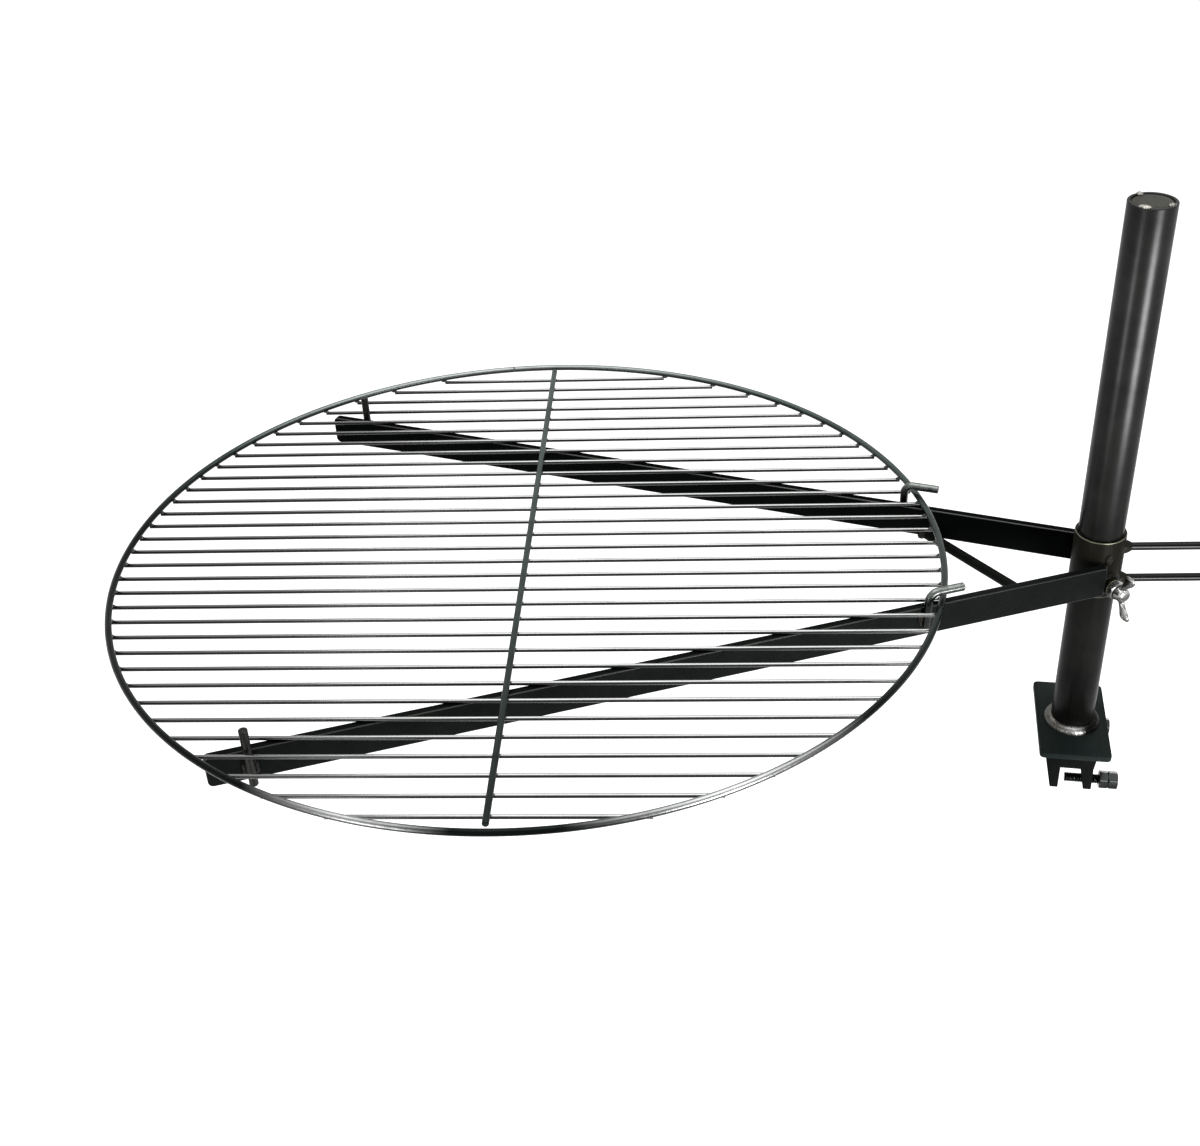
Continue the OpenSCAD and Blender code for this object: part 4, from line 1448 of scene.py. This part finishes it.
@dataclass
class Lock:
    """Threaded boss, wing screw and lock nut."""

    shop: Workshop
    sleeve_r: float = 24.15
    boss_r: float = 9.0
    boss_end: float = 33.15
    screw_r: float = 5.0
    tip: float = 21.5
    nut_low: float = 33.45
    nut_h: float = 6.0
    hex_af: float = 17.0
    hub_low: float = 39.75
    hub_r: float = 7.5
    hub_h: float = 8.0
    crown: float = 2.0
    span: float = 47.0
    wing_h: float = 19.0
    wing_t: float = 3.5
    thread: float = 1.5

    @staticmethod
    def line() -> Matrix:
        """Gives the wing screw's axis, with Z outwards from the post."""
        place = Matrix.Translation((0, 0, 206.5 * MM)) @ Matrix.Rotation(math.pi / 2, 4, "Y")
        return SWUNG @ Matrix.Rotation(math.radians(22 - 90), 4, "Z") @ place

    def build(self) -> None:
        """Builds and dresses the lock."""
        self.boss()
        self.lump()
        self.screw()
        nut = hexagon("wing_nut_cut", self.hex_af, self.nut_low, self.nut_low + self.nut_h, self.screw_r + 0.08)
        put(nut, self.line())
        self.shop.hand_over(nut, Finish.NUT_ZINC, "lock_nut", "bright_zinc", ["wing_lock_nut"])

    def boss(self) -> None:
        """Builds the boss, saddled on the sleeve, and the weld run round it."""
        bore = self.screw_r + 0.08
        piece = turned("threaded_boss", [(self.boss_r, 10.0), (self.boss_r, self.boss_end - 1.0),
                                         (self.boss_r - 1.0, self.boss_end), (bore, self.boss_end), (bore, 10.0),
                                         (self.boss_r, 10.0)], 56, hollow=True)
        soften(piece, 0.35)
        put(piece, self.line())
        trim = turned("trim", [(self.sleeve_r + 0.05, 150), (self.sleeve_r + 0.05, 300)], 96)
        cut_with(piece, trim)
        self.shop.hand_over(piece, Finish.SLEEVE_PAINT, "carrier", "black_paint", ["lock_boss"])
        run = bead_ring("boss_run", quarter((self.boss_r + 0.05, 0.0), 3.0, 5), 26, 0.45, 7.0)

        def saddle(point: Vector) -> Vector:
            height = math.sqrt(max(0.0, (self.sleeve_r + 0.05) ** 2 - point.y ** 2))
            return Vector((point.x, point.y, point.z + height))

        move_points(run, saddle)
        put(run, self.line())
        smooth(run, 55)
        self.shop.hand_over(run, Finish.PAINTED_WELD, "carrier", "weld_bead")

    def lump(self) -> None:
        """Builds the lump of weld that stands on the sleeve above the boss."""
        at = SWUNG @ Matrix.Rotation(math.radians(-79), 4, "Z") @ Matrix.Translation((24.4 * MM, 0, 234.5 * MM))
        piece = blob("sleeve_weld_lump", (2.2, 3.8, 5.6), at, 31.0, 0.25)
        cut_with(piece, turned("trim", [(self.sleeve_r + 0.03, 150), (self.sleeve_r + 0.03, 300)], 96))
        self.shop.hand_over(piece, Finish.PAINTED_WELD, "carrier", "weld_bead")

    def screw(self) -> None:
        """Builds the wing screw: threaded shank, domed hub and two cast wings."""
        low = self.hub_low
        top = low + self.hub_h
        hub = turned("hub", [(self.hub_r - 0.7, low), (self.hub_r, low + 0.7), (self.hub_r - 0.5, top - 1.2),
                             (self.hub_r - 1.4, top + 0.5), (self.hub_r - 3.6, top + 1.6),
                             (1.0, top + self.crown)], 48)
        parts = [hub]
        half_t = self.wing_t / 2
        reach = self.span / 2
        for side in (-1, 1):
            wing = block("wing", (1.0, -half_t - 1.6, low + 0.6), (6.2, half_t + 1.6, low + 8.0))
            with Editing(wing) as edit:
                edit.pick(lambda f: f.normal.x > 0.9)
                steps = ((4.2, 2.4, 0.72, 1.15), (4.2, 3.2, 0.9, 1.5), (3.8, 2.2, 1.0, 1.22), (3.4, 0.9, 1.12, 1.0),
                         (2.2, 0.1, 0.95, 0.74))
                x, z = 6.2, low + 4.3
                for out, up, thick, tall in steps:
                    x, z = x + out, z + up
                    bpy.ops.mesh.extrude_region_move(
                        TRANSFORM_OT_translate={"value": (out * MM, 0, up * MM)})
                    bpy.ops.transform.resize(value=(1, thick, tall), center_override=(x * MM, 0, z * MM))
            apply_modifier(wing, "SUBSURF", levels=3, render_levels=3)
            limit = reach - 0.1
            widest = max(v.co.x for v in wing.data.vertices) / MM
            move_points(wing, lambda p: Vector((p.x * (1 + (limit / widest - 1) * max(0.0, p.x) / widest), p.y, p.z)))
            if side < 0:
                put(wing, Matrix.Rotation(math.pi, 4, "Z"))
            parts.append(wing)
        body = join(parts, "wings")
        apply_modifier(body, "REMESH", mode="VOXEL", voxel_size=0.42 * MM, use_smooth_shade=True)
        apply_modifier(body, "SMOOTH", factor=0.5, iterations=3)
        ceiling = low + self.wing_h - 0.02
        floor = low + 0.02
        move_points(body, lambda p: Vector((p.x, p.y, min(max(p.z, floor), ceiling))))
        shank = threaded("shank", self.screw_r, self.thread, self.tip, low + 0.5)
        smooth(shank, 28)
        piece = join([body, shank], "butterfly_screw")
        put(piece, self.line())
        self.shop.hand_over(piece, Finish.WING_ZINC, "lock_screw", "bright_zinc", ["wing_screw"])


@dataclass
class Grate:
    """Round grate: a rod ring, parallel wires under it and a cross wire, all spot welded."""

    shop: Workshop
    middle_x: float = -550.0
    ring_r: float = 400.0
    ring_rod: float = 3.25
    ring_z: float = 238.6
    wire_rod: float = 2.0
    wire_z: float = 233.3
    wires_half: int = 16
    rim_gap: float = 23.5
    cross_rod: float = 3.0
    cross_z: float = 238.35
    cross_short: float = 6.0
    # Painted highlights on the ring: azimuth, half width in degrees and strength of each stretch.
    painted_highlight_stretches: tuple[tuple[float, float, float], ...] = (
        (-54.0, 20.0, 1.0), (-100.0, 13.0, 1.0), (105.0, 50.0, 0.5))

    @property
    def pitch(self) -> float:
        """Distance from wire to wire."""
        return (self.ring_r - self.rim_gap) / (self.wires_half - 0.5)

    def centre(self, z: float = 0.0) -> Matrix:
        """Gives the grate's own directions: X along the wires, Z up."""
        return SWUNG @ Matrix.Translation((self.middle_x * MM, 0, z * MM))

    def build(self) -> None:
        """Builds and dresses the grate."""
        self.ring()
        self.wires()
        self.cross()
        self.spots()

    def ring(self) -> None:
        """Builds the ring and the upset where its rod was butt welded."""
        turns = [math.tau * i / 16 for i in range(17)]
        profile = [(self.ring_r + self.ring_rod * math.cos(t), self.ring_rod * math.sin(t)) for t in turns]
        piece = turned("ring_rod", profile, 288, hollow=True)
        smooth(piece, 60)
        put(piece, self.centre(self.ring_z))
        # Painted highlights on stretches of the ring.
        mark_painted_highlight(piece, self.centre(self.ring_z).translation, self.painted_highlight_stretches)
        self.shop.hand_over(piece, Finish.RING_STEEL, "grate", "bare_steel", ["grate_ring"])
        at = Matrix.Rotation(math.radians(97), 4, "Z") @ Matrix.Translation((self.ring_r * MM, 0, 0))
        seam = blob("ring_butt_weld", (self.ring_rod + 0.25, 2.2, self.ring_rod + 0.25), self.centre(self.ring_z) @ at,
                    4.0, 0.1)
        self.shop.hand_over(seam, Finish.SPOT_WELD, "grate", "weld_bead")

    def wire_y(self, number: int) -> float:
        """Gives a wire's distance from the middle of the grate."""
        return (number - self.wires_half + 0.5) * self.pitch

    def wires(self) -> None:
        """Builds the parallel wires, each with cropped ends."""
        wires = []
        for number in range(2 * self.wires_half):
            y = self.wire_y(number)
            half = math.sqrt(self.ring_r ** 2 - (abs(y) + self.wire_rod) ** 2)
            wire = rod("wire", self.wire_rod, -half, half, 0.5, 14)
            put(wire, self.centre(self.wire_z) @ Matrix.Translation((0, y * MM, 0))
                @ Matrix.Rotation(math.pi / 2, 4, "Y"))
            wires.append(wire)
        piece = join(wires, "cooking_wires")
        smooth(piece, 40)
        self.shop.hand_over(piece, Finish.WIRE_STEEL, "grate", "bare_steel", ["grate_wires"])

    def cross(self) -> None:
        """Builds the cross wire with cropped ends."""
        half = self.ring_r - self.ring_rod - self.cross_short
        piece = rod("cross_rod", self.cross_rod, -half, half, 0.8, 20)
        put(piece, self.centre(self.cross_z) @ Matrix.Rotation(-math.pi / 2, 4, "X"))
        self.shop.hand_over(piece, Finish.CROSS_STEEL, "grate", "bare_steel", ["cross_wire"])

    def spots(self) -> None:
        """Builds the squeezed metal at every crossing of wire and rod."""
        deselect()
        bpy.ops.mesh.primitive_uv_sphere_add(segments=10, ring_count=6, radius=1.0)
        spot = bpy.context.object
        spot.name = "spot"
        spots = []
        touch = self.wire_z + self.wire_rod
        for number in range(2 * self.wires_half):
            y = self.wire_y(number)
            across = math.sqrt((self.ring_r - 1.5) ** 2 - y * y)
            for x in (-across, 0.0, across):
                along = 3.4 if x else 2.9
                piece = copy_of(spot)
                put(piece, self.centre(touch) @ Matrix.Translation((x * MM, y * MM, 0))
                    @ Matrix.Diagonal((along * MM, 1.9 * MM, 1.5 * MM, 1)))
                spots.append(piece)
        bpy.data.objects.remove(spot, do_unlink=True)
        piece = join(spots, "spot_welds")
        smooth(piece, 60)
        self.shop.hand_over(piece, Finish.SPOT_WELD, "grate", "weld_bead")


def main() -> None:
    """Builds the studio, then each sub-assembly."""
    logging.basicConfig(level=logging.INFO, format="%(name)s %(message)s")
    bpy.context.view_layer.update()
    Studio().build()
    shop = Workshop()
    for part in (Base(shop), Post(shop), Carrier(shop), Lock(shop), Grate(shop)):
        part.build()


if __name__ == "__main__":
    main()
